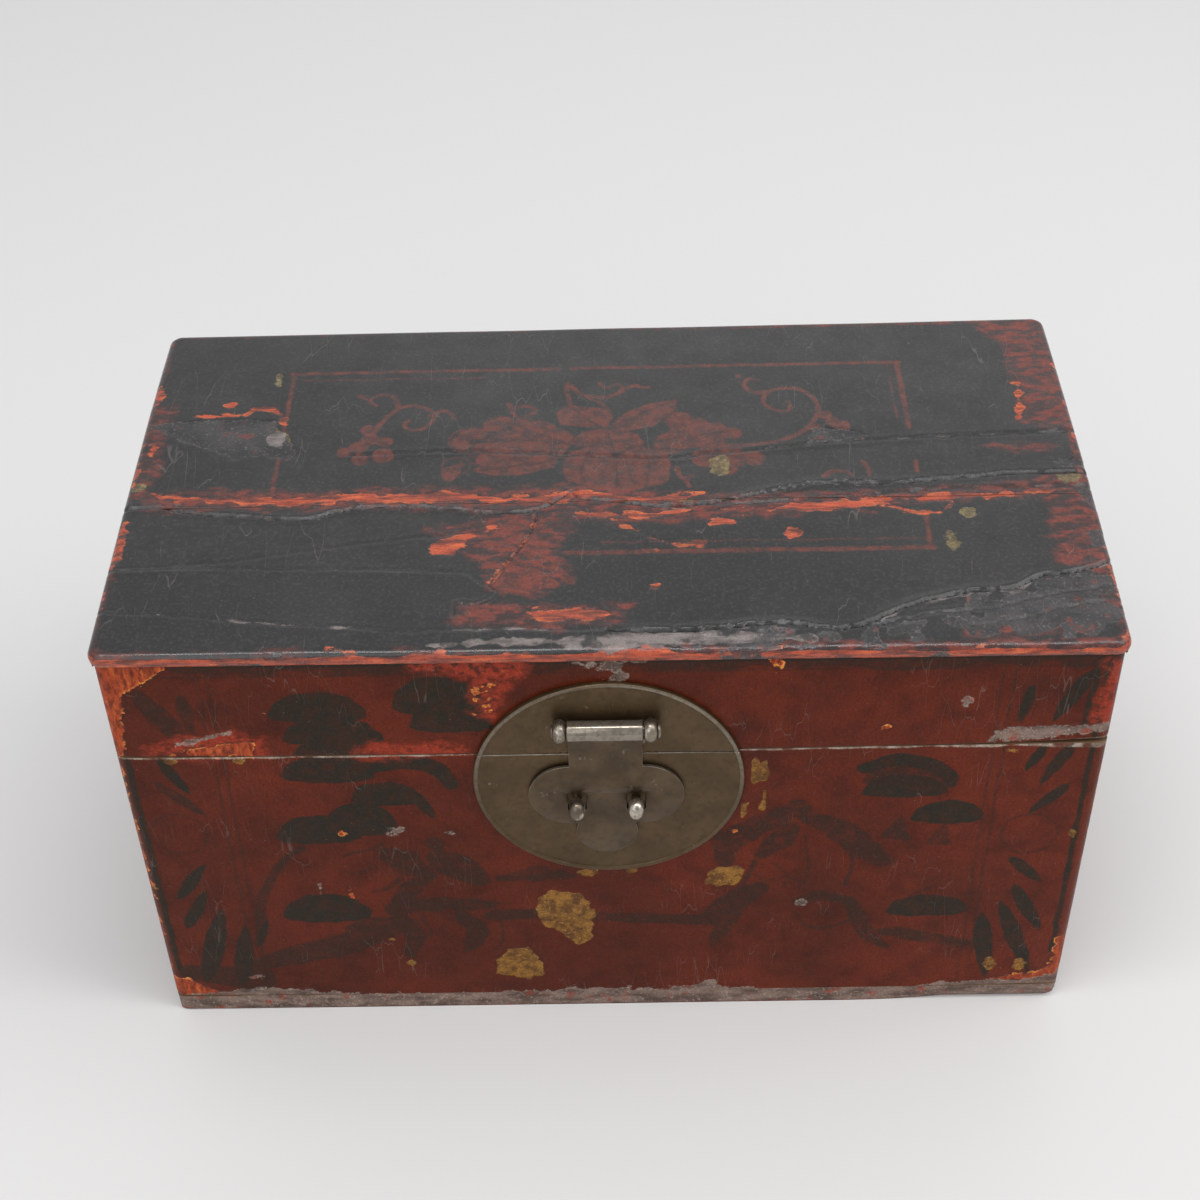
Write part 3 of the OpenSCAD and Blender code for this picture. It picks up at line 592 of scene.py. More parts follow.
# %% [markdown]
# ## Splits and losses on the top
#
# The top is glued from two planks, and the lacquer has torn along their joint. Other splits follow the
# grain. Beside them the skin lifts, so the same lines are used twice: for colour, and later to raise
# the lips in the board itself.

# %% Where the top has split
JOINT_SPLIT = [
    (-191, 82), (-175, 82), (-162, 79), (-137, 75.5), (-117, 73.5), (-105, 78), (-87, 80.5), (-65, 79),
    (-40, 76), (-25, 79), (-19, 84), (-14, 88), (-10, 84), (0, 82), (25, 78), (50, 82), (70, 88),
    (87, 91), (112, 90.5), (137, 93), (162, 95.5), (191, 95),
]
# Each split: its line, and how strong it is from 0 to 1.
SPLITS = [
    (JOINT_SPLIT, 0.9), ([(25, 78), (75, 80.5), (125, 85.5), (160, 86), (191, 87)], 0.5),
    ([(-104, 113.5), (-60, 115), (-20, 112), (25, 108), (37, 110), (70, 114), (82, 116), (125, 119),
      (191, 122)], 0.45),
    ([(-191, 45.5), (-162, 47), (-125, 53), (-92, 59), (-60, 63)], 0.2),
    ([(-191, 45.5), (-150, 45.5), (-100, 44), (-60, 42), (-50, 38), (-42.5, 32)], 0.2),
    ([(-191, 23), (-162, 20.5), (-130, 16), (-100, 13), (-75, 10.5), (-40, 11), (0, 10)], 0.3),
    ([(0, 10), (25, 9), (62, 12), (87, 9), (112, 20.5), (132, 27), (150, 29), (162, 35.5), (180, 39),
      (191, 45)], 1.0),
    ([(96, 10), (120, 16), (142, 19), (165, 26), (191, 31)], 0.5),
    ([(128, 9), (150, 13), (172, 20), (191, 22)], 0.45),
    ([(-27.5, 76), (-30, 63), (-37, 48), (-44, 35.5), (-41, 30.5), (-47.5, 24), (-56, 24), (-57.5, 18)],
     0.6),
]

# %% Where the top is bared, rubbed or torn
BARED_TOP = [
    [(-180, 91), (-150, 88), (-125, 87), (-100, 88), (-90, 88), (-70, 89), (-50, 87), (-25, 86),
     (-16, 88.5), (-12.5, 90), (-2.5, 88), (10, 84), (37.5, 85), (30, 81.5), (7.5, 82), (-10, 84),
    (-20, 82), (-40, 83), (-60, 84.5), (-80, 82.5), (-100, 84), (-118, 83), (-137, 84), (-157, 85),
    (-172, 86.5)],
    [(-13, 75), (5, 73.5), (17.5, 75.5), (32.5, 75.5), (25, 73), (5, 71.5), (-7.5, 70.5)],
    [(45, 76), (65, 77), (82, 79), (105, 81), (132, 82.5), (160, 83.5), (182, 84.5), (150, 80),
     (112, 78.5), (95, 77), (80, 73), (72, 74.5)],
    [(-68, 58), (-60, 62), (-48, 66), (-40, 69), (-42, 65), (-52, 60), (-57, 54), (-58.5, 50),
     (-67, 51)],
    [(-30, 20.5), (-20, 22), (-2.5, 21.5), (0, 18.5), (-5, 15), (-25, 15), (-29, 17)],
    [(40, 70), (55, 69), (50, 68), (40, 67)],
    [(167, 130), (169, 142), (170, 158), (171.5, 158), (171, 142), (170, 130)],
]
RUBBED_TOP = [
    [(167, 206), (189, 209), (191, 125), (175, 125), (166, 130.5), (169, 143), (170, 158), (169, 173),
     (170, 185.5), (161, 190.5), (162.5, 200.5)],
    [(168, 83), (191, 86), (191, 43), (185, 35.5), (172, 42), (169, 58), (172, 70.5)],
    [(128, 10), (146, 15), (164, 13), (170, 6), (150, 3), (130, 4)],
    [(166, 28), (190, 36), (190, 12), (174, 16)],
    [(150, 113), (165, 115), (180, 112), (176, 108), (160, 110)],
    [(-180, 93), (-120, 91), (-60, 92), (-10, 92), (20, 88), (40, 84), (110, 85), (150, 88), (191, 96),
     (191, 83), (150, 79), (100, 77), (60, 72), (0, 69), (-20, 76), (-90, 80), (-180, 80)],
    [(-70, 68), (-40, 74), (-20, 76), (-12, 66), (-20, 52), (-12, 38), (-28, 28), (-46, 32), (-48, 46),
     (-60, 56)],
    [(-55, 24), (10, 24), (5, 12), (-30, 10), (-58, 14)],
    [(-188, 150), (-180, 150), (-180, 90), (-188, 90)],
]
BARED_SPOTS = [
    (-156, 150, 2.3, 2.6), (17.5, 32.5, 2.2, 1.8), (70.8, 61, 3.6, 2.8), (36, 56, 3, 2),
    (19, 51.5, 1.2, 1.2), (-184, 120, 2, 2.6), (-188, 158, 2.4, 9), (-188, 60, 2, 14),
    (-162, 142.5, 9, 1.3),
]
FLAKE = [
    (-188, 135.5), (-175, 138.5), (-160, 140), (-147.5, 140), (-137.5, 138), (-134.5, 133), (-129, 124),
    (-125, 114), (-129, 112), (-140, 115.5), (-149, 112), (-155, 116), (-162.5, 120.5), (-171, 124),
    (-179, 130.5),
]
OCHRE_TOP = [
    (45, 103, 4.5, 7), (139, 72, 3, 3.4), (131, 55, 2.4, 6), (31.5, 81, 2.4, 1.2), (-138, 168, 1.5, 5),
    (-186, 95, 3, 2.5), (182, 92, 5, 4),
]
TAN_FLAKE = [(-139, 135.5), (-131, 130), (-127.5, 122), (-134, 121.5), (-139, 128)]
EDGE_KNOCKS = [(184, 101, 7, 3), (188.5, 82, 3, 8), (187, 56, 5, 6)]
LIFTED = [(84, 127), (90, 127.5), (100, 124), (106, 121), (95, 118), (81, 117)]
WORN_FRONT = [
    (2, 8), (25, 7.5), (62, 10), (87, 7.5), (112, 19), (132, 25.5), (150, 27.5), (162, 34), (180, 37.5),
    (191, 43), (191, 0.5), (2, 0.5),
]


# %% Losses on the top as distances


def top_bared(p):
    q = bent(p, 4, 1.0, 71)
    torn = rough(p[0], p[1] * 2.5, 9, 73)
    curl = stroke(p, [(-149, 143), (-146, 147), (-140, 147), (-134, 142), (-132, 134)], (1.5, 2.4, 1.6))
    drip = stroke(p, [(1, 72), (12, 63), (26, 55.5), (36, 55)], 0.8)
    rim = stroke(p, SPLITS[-1][0][:4], 1.0)
    hook = stroke(p, [(109, 78), (115, 74), (120, 72), (126, 72), (131, 74), (134, 78)], (1.6, 1.2))
    corner_wear = np.abs(np.abs(p[0]) - HALF) + 1.0 - 4.2 * rough(p[1], p[0], 13, 75)
    return union(*[patch(q, outline) + 1.8 * torn + 0.2 for outline in BARED_TOP], curl, drip, rim, hook,
                 corner_wear, *[oval(bent(p, 2, 0.5, 77), spot[:2], spot[2:]) for spot in BARED_SPOTS])


def top_rubbed(p):
    return union(*[patch(bent(p, 9, 2.0, 79), outline) for outline in RUBBED_TOP])


def top_ground(p):
    q = bent(p, 3, 0.8, 81)
    grit = rough(p[0], p[1], 8, 83)
    ridge = union(*[stroke(q, line, 1.6 * w) + 1.1 + 2.2 * grit for line, w in SPLITS if w > 0.4])
    knocks = union(*[oval(q, knock[:2], knock[2:]) for knock in EDGE_KNOCKS])
    worn = patch(q, WORN_FRONT) + 5 + 14 * grit
    return union(patch(q, FLAKE), patch(q, LIFTED), worn, ridge, knocks + 2 * grit)


def top_pale(p):
    """Chalky torn edges: along the middle of the front edge, the torn ridge and the flake's end."""
    grit = rough(p[0], p[1], 6, 85)
    band = stroke(p, [(-66, 3.5), (-30, 4.5), (5, 3.5), (40, 5.5), (80, 4)], (1, 4, 7, 5, 2), False)
    torn = stroke(bent(p, 3, 0.8, 81), WORN_FRONT[1:10], (0.8, 1.2, 1.0, 1.6, 1.2, 1.6))
    left = stroke(bent(p, 4, 0.5, 101), SPLITS[5][0], (0.2, 0.7, 0.4))
    chip = oval(p, (-134, 126), (4.5, 7))
    return union(band + 3.2 * grit, torn + 0.8 + 2.4 * grit, left + 0.1 + 0.9 * grit, chip + 1.5 + 4 * grit)


def top_ochre(p):
    q = bent(p, 2, 0.8, 91)
    torn = ripple(p[0], p[1], 1.8, 93)
    return union(patch(q, TAN_FLAKE), *[oval(q, spot[:2], spot[2:]) + torn for spot in OCHRE_TOP])


def top_split(p):
    q = bent(p, 4, 0.5, 101)
    return union(*[stroke(q, line, 0.9 * w) for line, w in SPLITS])


# %% [markdown]
# ## From a flat grid to a board
#
# A board is a grid whose border is pulled back over a rounded edge and closed behind. The grid keeps
# the painting sharp where it is seen, while the hidden side is a single face. The grid's outer rows
# are then slid together, so that a small number of them describes the round edge well.

# %% Making a board
EDGE_ROWS = np.array([0.0, 0.06, 0.25, 0.58])  # places of the outer rows, as shares of the round edge


def stations(length, step, start_round, end_round):
    """Places of the grid's rows along one side, close together at both round edges."""
    count = max(2, round((length - start_round - end_round) / step) + 1)
    middle = np.linspace(start_round, length - end_round, count)
    return np.concatenate([EDGE_ROWS * start_round, middle, (length - EDGE_ROWS * end_round)[::-1]])


def round_over(distance, radius):
    """How far a round edge falls away at a distance from the board's end."""
    return radius * (1 - np.sqrt(1 - np.clip(1 - distance / radius, 0, 1) ** 2))


def grid_board(name, u_rows, v_rows, ring_depths):
    """A closed board: a fine outer face, a border pulled back ring by ring and one face behind."""
    cols, rows = len(u_rows) - 1, len(v_rows) - 1
    bpy.ops.mesh.primitive_grid_add(x_subdivisions=cols, y_subdivisions=rows, size=2)
    piece = bpy.context.object
    piece.name = name
    bpy.ops.object.mode_set(mode="EDIT")
    bpy.ops.mesh.select_all(action="SELECT")
    bpy.ops.mesh.region_to_loop()
    for _ in ring_depths:
        bpy.ops.mesh.extrude_edges_move(TRANSFORM_OT_translate={"value": (0, 0, -1)})
    bpy.ops.mesh.edge_face_add()
    bpy.ops.mesh.select_all(action="DESELECT")
    bpy.ops.object.mode_set(mode="OBJECT")
    co = points_of(piece)
    column = np.rint((co[:, 0] + 1) / 2 * cols).astype(int)
    row = np.rint((co[:, 1] + 1) / 2 * rows).astype(int)
    ring = np.rint(-co[:, 2]).astype(int)
    return piece, u_rows[column], v_rows[row], ring


def points_of(piece):
    co = np.empty(len(piece.data.vertices) * 3)
    piece.data.vertices.foreach_get("co", co)
    return co.reshape(-1, 3)


def set_points(piece, co):
    """Gives a mesh its points in metres, with its faces turned outwards."""
    piece.data.vertices.foreach_set("co", (co * MM).ravel())
    piece.data.update()
    bpy.context.view_layer.objects.active = piece
    piece.select_set(True)
    bpy.ops.object.mode_set(mode="EDIT")
    bpy.ops.mesh.select_all(action="SELECT")
    bpy.ops.mesh.normals_make_consistent(inside=False)
    bpy.ops.object.mode_set(mode="OBJECT")
    bpy.ops.object.shade_smooth_by_angle(angle=math.radians(SMOOTH_BELOW))
    piece.select_set(False)


REACH = 6.0  # distances are kept up to this many millimetres
SMOOTH_BELOW = 38


def round_plan(co, high, radius):
    """Rounds the upright corners of a board that lies flat, by bending squares into quarter discs."""
    over = np.abs(co[:, :2]) - (high[:2] - radius)
    both = (over > 0).all(1)
    pull = np.ones(len(co))
    pull[both] = over[both].max(1) / np.hypot(over[both, 0], over[both, 1])
    for axis in (0, 1):
        co[both, axis] -= np.sign(co[both, axis]) * (over[both, axis] * (1 - pull[both]))
    return co


def keep_share(piece, name, share):
    """Keeps a number from 0 to 1 with each point, for the material to read."""
    layer = piece.data.attributes.new(name, "FLOAT", "POINT")
    layer.data.foreach_set("value", np.asarray(share).astype(np.float32))


def keep_layer(piece, name, distance):
    """Keeps a distance with each point, as 0 outside, one half on the edge and 1 well inside."""
    keep_share(piece, name, np.clip(0.5 - distance / (2 * REACH), 0, 1))


# %% [markdown]
# ## Bent boards and a twisted lid
#
# The long boards have moved with age. The parting line dips a little to the left of the lock, the lid
# stands open by a crack at its right end, and the front bulges. The top has twisted as well, with its
# front left and back right corners high. Every piece is bent by the same few rules, so that neighbours
# still meet.

# %% Dip, gape, bulge and twist
TWIST = {"front_left": 1.0, "front_right": -0.6, "back_left": -1.0, "back_right": 0.9}
DIP, DIP_MIDDLE, DIP_HALF = 0.8, -50, 150
GAPE_RIGHT, GAPE_LEFT = 2.4, 0.6
GAPE_DEPTH = 110
BULGE, BULGE_HEIGHT = 1.0, 150
FOOT_ROUND, WORN_FOOT_ROUND = 2.5, 10.0
BEND_HEIGHT = 60


def dip(x):
    """How far the parting line lies below a straight one."""
    return -DIP * np.clip(1 - ((x - DIP_MIDDLE) / DIP_HALF) ** 2, 0, 1)


def gape(x, y):
    """How far the lid's lower edge stands open: most of all at the front's right end."""
    right = GAPE_RIGHT * np.clip((x - 105) / 82, 0, 1) ** 2
    left = GAPE_LEFT * np.clip((-145 - x) / 40, 0, 1)
    return (right + left) * np.clip(1 - (y - FACE) / GAPE_DEPTH, 0, 1)


def twist(x, y):
    s = (np.clip(x / HALF, -1, 1) + 1) / 2
    t = (np.clip(y / -FACE, -1, 1) + 1) / 2
    front = TWIST["front_left"] * (1 - s) + TWIST["front_right"] * s
    back = TWIST["back_left"] * (1 - s) + TWIST["back_right"] * s
    return front * (1 - t) + back * t


def bulge(co):
    """The front stands a little proud in the middle of its lower half."""
    across = np.clip(1 - (co[:, 0] / HALF) ** 2, 0, 1)
    share = across * np.clip(1 - co[:, 2] / BULGE_HEIGHT, 0, 1) ** 0.7
    co[:, 1] -= BULGE * share * (co[:, 1] < FACE + 3)
    return co


def round_foot(co):
    """Wears the bottom corners round: far more at the front's right corner than at the others."""
    right_front = np.clip((co[:, 0] - 100) / 40, 0, 1) * np.clip(1 - (co[:, 1] - FACE) / 45, 0, 1)
    radius = FOOT_ROUND + (WORN_FOOT_ROUND - FOOT_ROUND) * right_front
    fall = round_over(np.clip(co[:, 2], 0, None) + 0.8, radius)
    limit = HALF - fall
    co[:, 0] = np.clip(co[:, 0], -limit, limit)
    co[:, 1] = np.maximum(co[:, 1], FACE + 0.35 * fall * right_front)
    return co


def case_bend(co):
    share = np.clip((co[:, 2] - (PARTING - BEND_HEIGHT)) / BEND_HEIGHT, 0, 1) ** 2
    co[:, 2] += share * dip(co[:, 0])
    return round_foot(bulge(co))


def rail_bend(co):
    x, y = co[:, 0].copy(), co[:, 1].copy()
    share = np.clip((co[:, 2] - RAIL_LOW[2]) / (RAIL_HIGH[2] - RAIL_LOW[2]), 0, 1)
    co[:, 2] += (1 - share) * (dip(x) + gape(x, y)) + share * twist(x, y)
    return co


def top_bend(co):
    co[:, 2] += twist(co[:, 0], co[:, 1])
    return co


# %% [markdown]
# ## The case and the lid's frame
#
# Front and back boards run the full length, and the end boards stand between them, as on the real
# trunk. Losses are sunk into the surface by a few tenths of a millimetre, so that their edges catch
# the light.

# %% Upright boards
FINE, MEDIUM, COARSE = 0.95, 1.5, 2.2
CORNER = 4.0
ARRIS = 0.5
END_ARRIS = 0.3
BORDER_DEPTHS = np.array([4.6, 6.4, 8.2, WALL])
RED_LOSS, OCHRE_LOSS = 0.16, 0.14
GROUND_LOSS, GROUND_GRIT = 0.35, 0.25
WAVES = 0.10
FRONT_LAYERS = {"painted": front_dark, "shadowed": front_soft, "rubbed": front_rubbed, "bared": front_bared,
                "ground": front_ground, "ochre": front_ochre, "seam": seam}
PLAIN_LAYERS = {"bared": plain_bared, "ground": plain_ground, "seam": seam}
END_LAYERS = {**PLAIN_LAYERS, "rubbed": handle_rubbed}


def inside_of(distance, soft=0.4):
    """1 well inside a shape and 0 outside it."""
    return np.clip(0.5 - distance / (2 * soft), 0, 1)


def upright(name, low, high, side, step, bend, arris_u, layers):
    """One board of the case or the lid's frame. `side` says which way its outer face looks."""
    along = 0 if side in ("front", "back") else 1
    length, height = high[along] - low[along], high[2] - low[2]
    piece, u, v, ring = grid_board(
        name, stations(length, step, arris_u, arris_u), stations(height, step, ARRIS, ARRIS), BORDER_DEPTHS)
    fall = np.maximum(round_over(np.minimum(u, length - u), arris_u),
                      round_over(np.minimum(v, height - v), ARRIS))
    flat = (low[along] + u, low[2] + v)
    found = {key: draw(flat) for key, draw in layers.items()}
    for key, distance in found.items():
        keep_layer(piece, key, np.where(ring > 1, FAR, distance) if key != "bared" else distance)
    wear = RED_LOSS * inside_of(found["bared"]) + OCHRE_LOSS * inside_of(found.get("ochre", FAR))
    wear += (GROUND_LOSS + GROUND_GRIT * rough(*flat, 5, 201)) * inside_of(found["ground"], 0.8)
    wear += WAVES + WAVES * rough(*flat, 45, 203)
    depth = np.where(ring > 0, BORDER_DEPTHS[np.maximum(ring - 1, 0)], fall + wear)
    outer = {"front": low[1], "back": high[1], "left": low[0], "right": high[0]}[side]
    inward = 1 if side in ("front", "left") else -1
    co = np.zeros((len(u), 3))
    co[:, along], co[:, 1 - along], co[:, 2] = flat[0], outer + inward * depth, flat[1]
    set_points(piece, bend(co))
    return piece


case_front = upright("case_front", FRONT_LOW, FRONT_HIGH, "front", FINE, case_bend, CORNER, FRONT_LAYERS)
case_back = upright("case_back", BACK_LOW, BACK_HIGH, "back", COARSE, case_bend, CORNER, PLAIN_LAYERS)
lid_front = upright("lid_front", RAIL_LOW, RAIL_HIGH, "front", FINE, rail_bend, CORNER, FRONT_LAYERS)
lid_back = upright("lid_back", *span("lid_back_rail"), "back", COARSE, rail_bend, CORNER, PLAIN_LAYERS)


def end_board(name, node, side, bend):
    low, high = span(node)
    low[1], high[1] = FRONT_HIGH[1], BACK_LOW[1]
    return upright(name, low, high, side, MEDIUM, bend, END_ARRIS, END_LAYERS)


case_left = end_board("case_left", "left_board", "left", case_bend)
case_right = end_board("case_right", "right_board", "right", case_bend)
lid_left = end_board("lid_left", "lid_left_rail", "left", rail_bend)
lid_right = end_board("lid_right", "lid_right_rail", "right", rail_bend)
print("points in the front board:", len(case_front.data.vertices))

# %% [markdown]
# ## The bottom board
#
# The bottom is pegged on from below, and its edge shows as the grey, scuffed strip under the painting.
# It is the same kind of board, laid on its face: its many rings are what is seen, so they carry the
# wear.

# %% Bottom board
BOTTOM_ROUND = 1.0
BOTTOM_STEP_X, BOTTOM_STEP_Y = 1.6, 3.0


def bottom_slab():
    width, depth, height = BOTTOM_HIGH - BOTTOM_LOW
    rings = np.array([1.0, 2.2, 3.6, 5.0, 6.4, 7.8, height])
    piece, u, v, ring = grid_board(
        "case_bottom", stations(width, BOTTOM_STEP_X, BOTTOM_ROUND, BOTTOM_ROUND),
        stations(depth, BOTTOM_STEP_Y, BOTTOM_ROUND, BOTTOM_ROUND), rings)
    fall = np.maximum(round_over(np.minimum(u, width - u), BOTTOM_ROUND),
                      round_over(np.minimum(v, depth - v), BOTTOM_ROUND))
    z = np.where(ring > 0, rings[np.maximum(ring - 1, 0)], fall)
    x, y = BOTTOM_LOW[0] + u, BOTTOM_LOW[1] + v
    side = np.clip(1 - np.minimum(np.minimum(u, width - u), np.minimum(v, depth - v)) / 0.2, 0, 1)
    bite = side * (0.1 + 0.4 * np.clip(rough(x + y, z * 3, 9, 211), -0.2, 1)) * (ring < len(rings))
    toward_x, toward_y = np.sign(u - width / 2), np.sign(v - depth / 2)
    at_end = np.minimum(u, width - u) < 0.2
    at_face = np.minimum(v, depth - v) < 0.2
    co = np.stack([x - toward_x * at_end * bite, y - toward_y * at_face * bite, z], 1)
    co = round_foot(bulge(round_plan(co, BOTTOM_HIGH, CORNER)))
    keep_layer(piece, "ground", np.where(side > 0, -3.5 + 2.5 * rough(x + y, z, 12, 213), FAR))
    keep_layer(piece, "bared", np.where(side > 0, 2.5 - 4 * np.clip(rough(x + y, z, 17, 215), 0, 1), FAR))
    set_points(piece, co)
    return piece


case_bottom = bottom_slab()
print("points in the bottom board:", len(case_bottom.data.vertices))

# %% [markdown]
# ## The crowned top
#
# Two planks make the top. Their grid is raised to a low crown, twisted with the lid, lifted into lips
# beside every split and sunk where a flake is gone. The round front edge has its own wear: a band of
# knocks that shows red, orange and grey by turns.

# %% Top planks
EDGE_ROUND, UNDER_ROUND, JOINT_ROUND = 3.2, 1.2, 0.5
TOP_CORNER = CORNER + 1.5
LOWEST_SPLIT, HIGHEST_LIP = -1.2, 1.1
TOP_LAYERS = {"painted": top_painted, "shadowed": top_veins, "rubbed": top_rubbed, "bared": top_bared,
              "ground": top_ground, "ochre": top_ochre, "split": top_split, "seam": top_pale}
TOP_HALF = PLANK_HIGH[0]
TOP_DEPTH = REAR_HIGH[1]
CROWN = 2.4
LIP_HEIGHT, LIP_REACH = 1.4, 2.3
SPLIT_DEPTH, SPLIT_REACH = 1.5, 0.9


def relief(p, found):
    """Height in millimetres of lips, flakes and waves on the top."""
    lips = 0.0
    for line, weight in SPLITS:
        away = stroke(bent(p, 4, 0.5, 101), line, 0.0)
        lift = 0.5 + 0.5 * ripple(p[0], p[1] * 0.2, 22, 221)
        crumbs = 0.9 + 0.3 * rough(*p, 7, 227)
        lip = LIP_HEIGHT * lift * crumbs * np.exp(-(away / LIP_REACH) ** 2)
        lips = lips + weight * (lip - SPLIT_DEPTH * np.exp(-(away / SPLIT_REACH) ** 2))
    flake = inside_of(found["ground"], 0.6) * (-0.35 + 0.3 * rough(*p, 4, 223))
    worn = -0.15 * inside_of(found["bared"]) - 0.1 * inside_of(found["ochre"])
    return np.clip(lips, LOWEST_SPLIT, HIGHEST_LIP) + flake + worn + 0.22 * ripple(*p, 38, 225) - 0.25


def edge_wear(co, edge, found):
    """Adds the knocks along the round edges, where red, orange and grey take turns."""
    at_front = np.abs(co[:, 1] + TOP_DEPTH) < 7
    along = np.where(at_front, co[:, 0], co[:, 1] + 300)
    across = edge - co[:, 2]
    low = np.clip((PLANK_LOW[2] + 4.3 - co[:, 2]) / 1.4, 0, 1)
    right = np.clip((co[:, 0] - 50) / 30, 0, 1)
    near = np.clip(1 - (edge - 1.5) / 4.0, 0, 1)
    middle = np.exp(-((co[:, 0] - 5) / 70) ** 2) * at_front
    for name, share, seed, size, flat in (
            ("rubbed", 0.15 + 0.75 * low + 0.9 * right, 231, 30, 4),
            ("bared", -0.10 + (0.05 + 1.25 * low) * at_front + 0.35 * middle, 241, 17, 6),
            ("ground", -0.15 + 0.25 * middle, 251, 15, 3)):
        worn = 3.0 - 9.0 * near * np.clip(rough(along, across * flat, size, seed) + share, 0, 1)
        found[name] = np.where(near > 0, np.minimum(found[name], worn), found[name])


def top_plank(name, low, high, step, front_edge):
    width, depth = high[0] - low[0], high[1] - low[1]
    rounds = (EDGE_ROUND, JOINT_ROUND) if front_edge else (JOINT_ROUND, EDGE_ROUND)
    base = PLANK_LOW[2]
    v_rows = stations(depth, step, *rounds)
    rings = np.array([0.35, 0.5, 0.65, 0.8, 0.9, 0.97, 1.0])
    piece, u, v, ring = grid_board(name, stations(width, step, EDGE_ROUND, EDGE_ROUND), v_rows, rings)
    sides = np.minimum(u, width - u)
    outer_v = v if front_edge else depth - v
    joint_v = depth - v if front_edge else v
    fall = np.maximum.reduce([
        round_over(sides, EDGE_ROUND), round_over(outer_v, EDGE_ROUND), round_over(joint_v, JOINT_ROUND)])
    x, y = low[0] + u, low[1] + v
    crown_z = CROWN_TOP - CROWN * (y / TOP_DEPTH) ** 2
    p = (x, y - FACE)
    found = {key: draw(p) for key, draw in TOP_LAYERS.items()}
    height = relief(p, found)
    z = crown_z + np.where(ring > 0, 0, height) - fall
    share = np.where(ring > 0, rings[np.maximum(ring - 1, 0)], 0)
    start = crown_z - fall
    z = np.where(ring > 0, start + (base - start) * share, z)
    tuck = UNDER_ROUND - round_over(np.clip(z - base, 0, UNDER_ROUND), UNDER_ROUND)
    tuck = np.where(ring > 0, UNDER_ROUND - tuck, 0)
    knock = np.where(ring > 0, 0.25 + 0.35 * rough(np.where(outer_v < 1, x, y), z * 2, 11, 251), 0)
    inward = np.where(ring > 0, np.clip(tuck + knock * (share < 0.95), 0, 2), 0)
    at_end, at_front = sides < 0.01, outer_v < 0.01
    toward_joint = 1 if front_edge else -1
    co = np.stack([x - np.sign(x) * at_end * inward, y + toward_joint * at_front * inward, z], 1)
    edge_wear(co, np.minimum(sides, outer_v), found)
    co = round_plan(co, np.array([TOP_HALF, TOP_DEPTH]), TOP_CORNER)
    keep_share(piece, "handled_and_highlit", np.clip(1.2 - np.minimum(sides, outer_v) / 3.5, 0, 1))
    for key, distance in found.items():
        hidden = ring > 0 if key in ("painted", "shadowed", "split", "ochre") else joint_v < -1
        keep_layer(piece, key, np.where(hidden, FAR, distance))
    set_points(piece, top_bend(co))
    return piece


top_front = top_plank("top_front", PLANK_LOW, PLANK_HIGH, 0.85, True)
top_back = top_plank("top_back", REAR_LOW, REAR_HIGH, 1.0, False)
print("points in the top:", len(top_front.data.vertices) + len(top_back.data.vertices))

# %% [markdown]
# ## Mixing materials
#
# Materials are node trees. A small helper keeps the recipes short: each line below asks for a pattern
# or a mixture and gets back a socket that the next line can use. Patterns are measured in millimetres
# on the object itself, so their scale is true on every piece.

# %% A paint box for materials


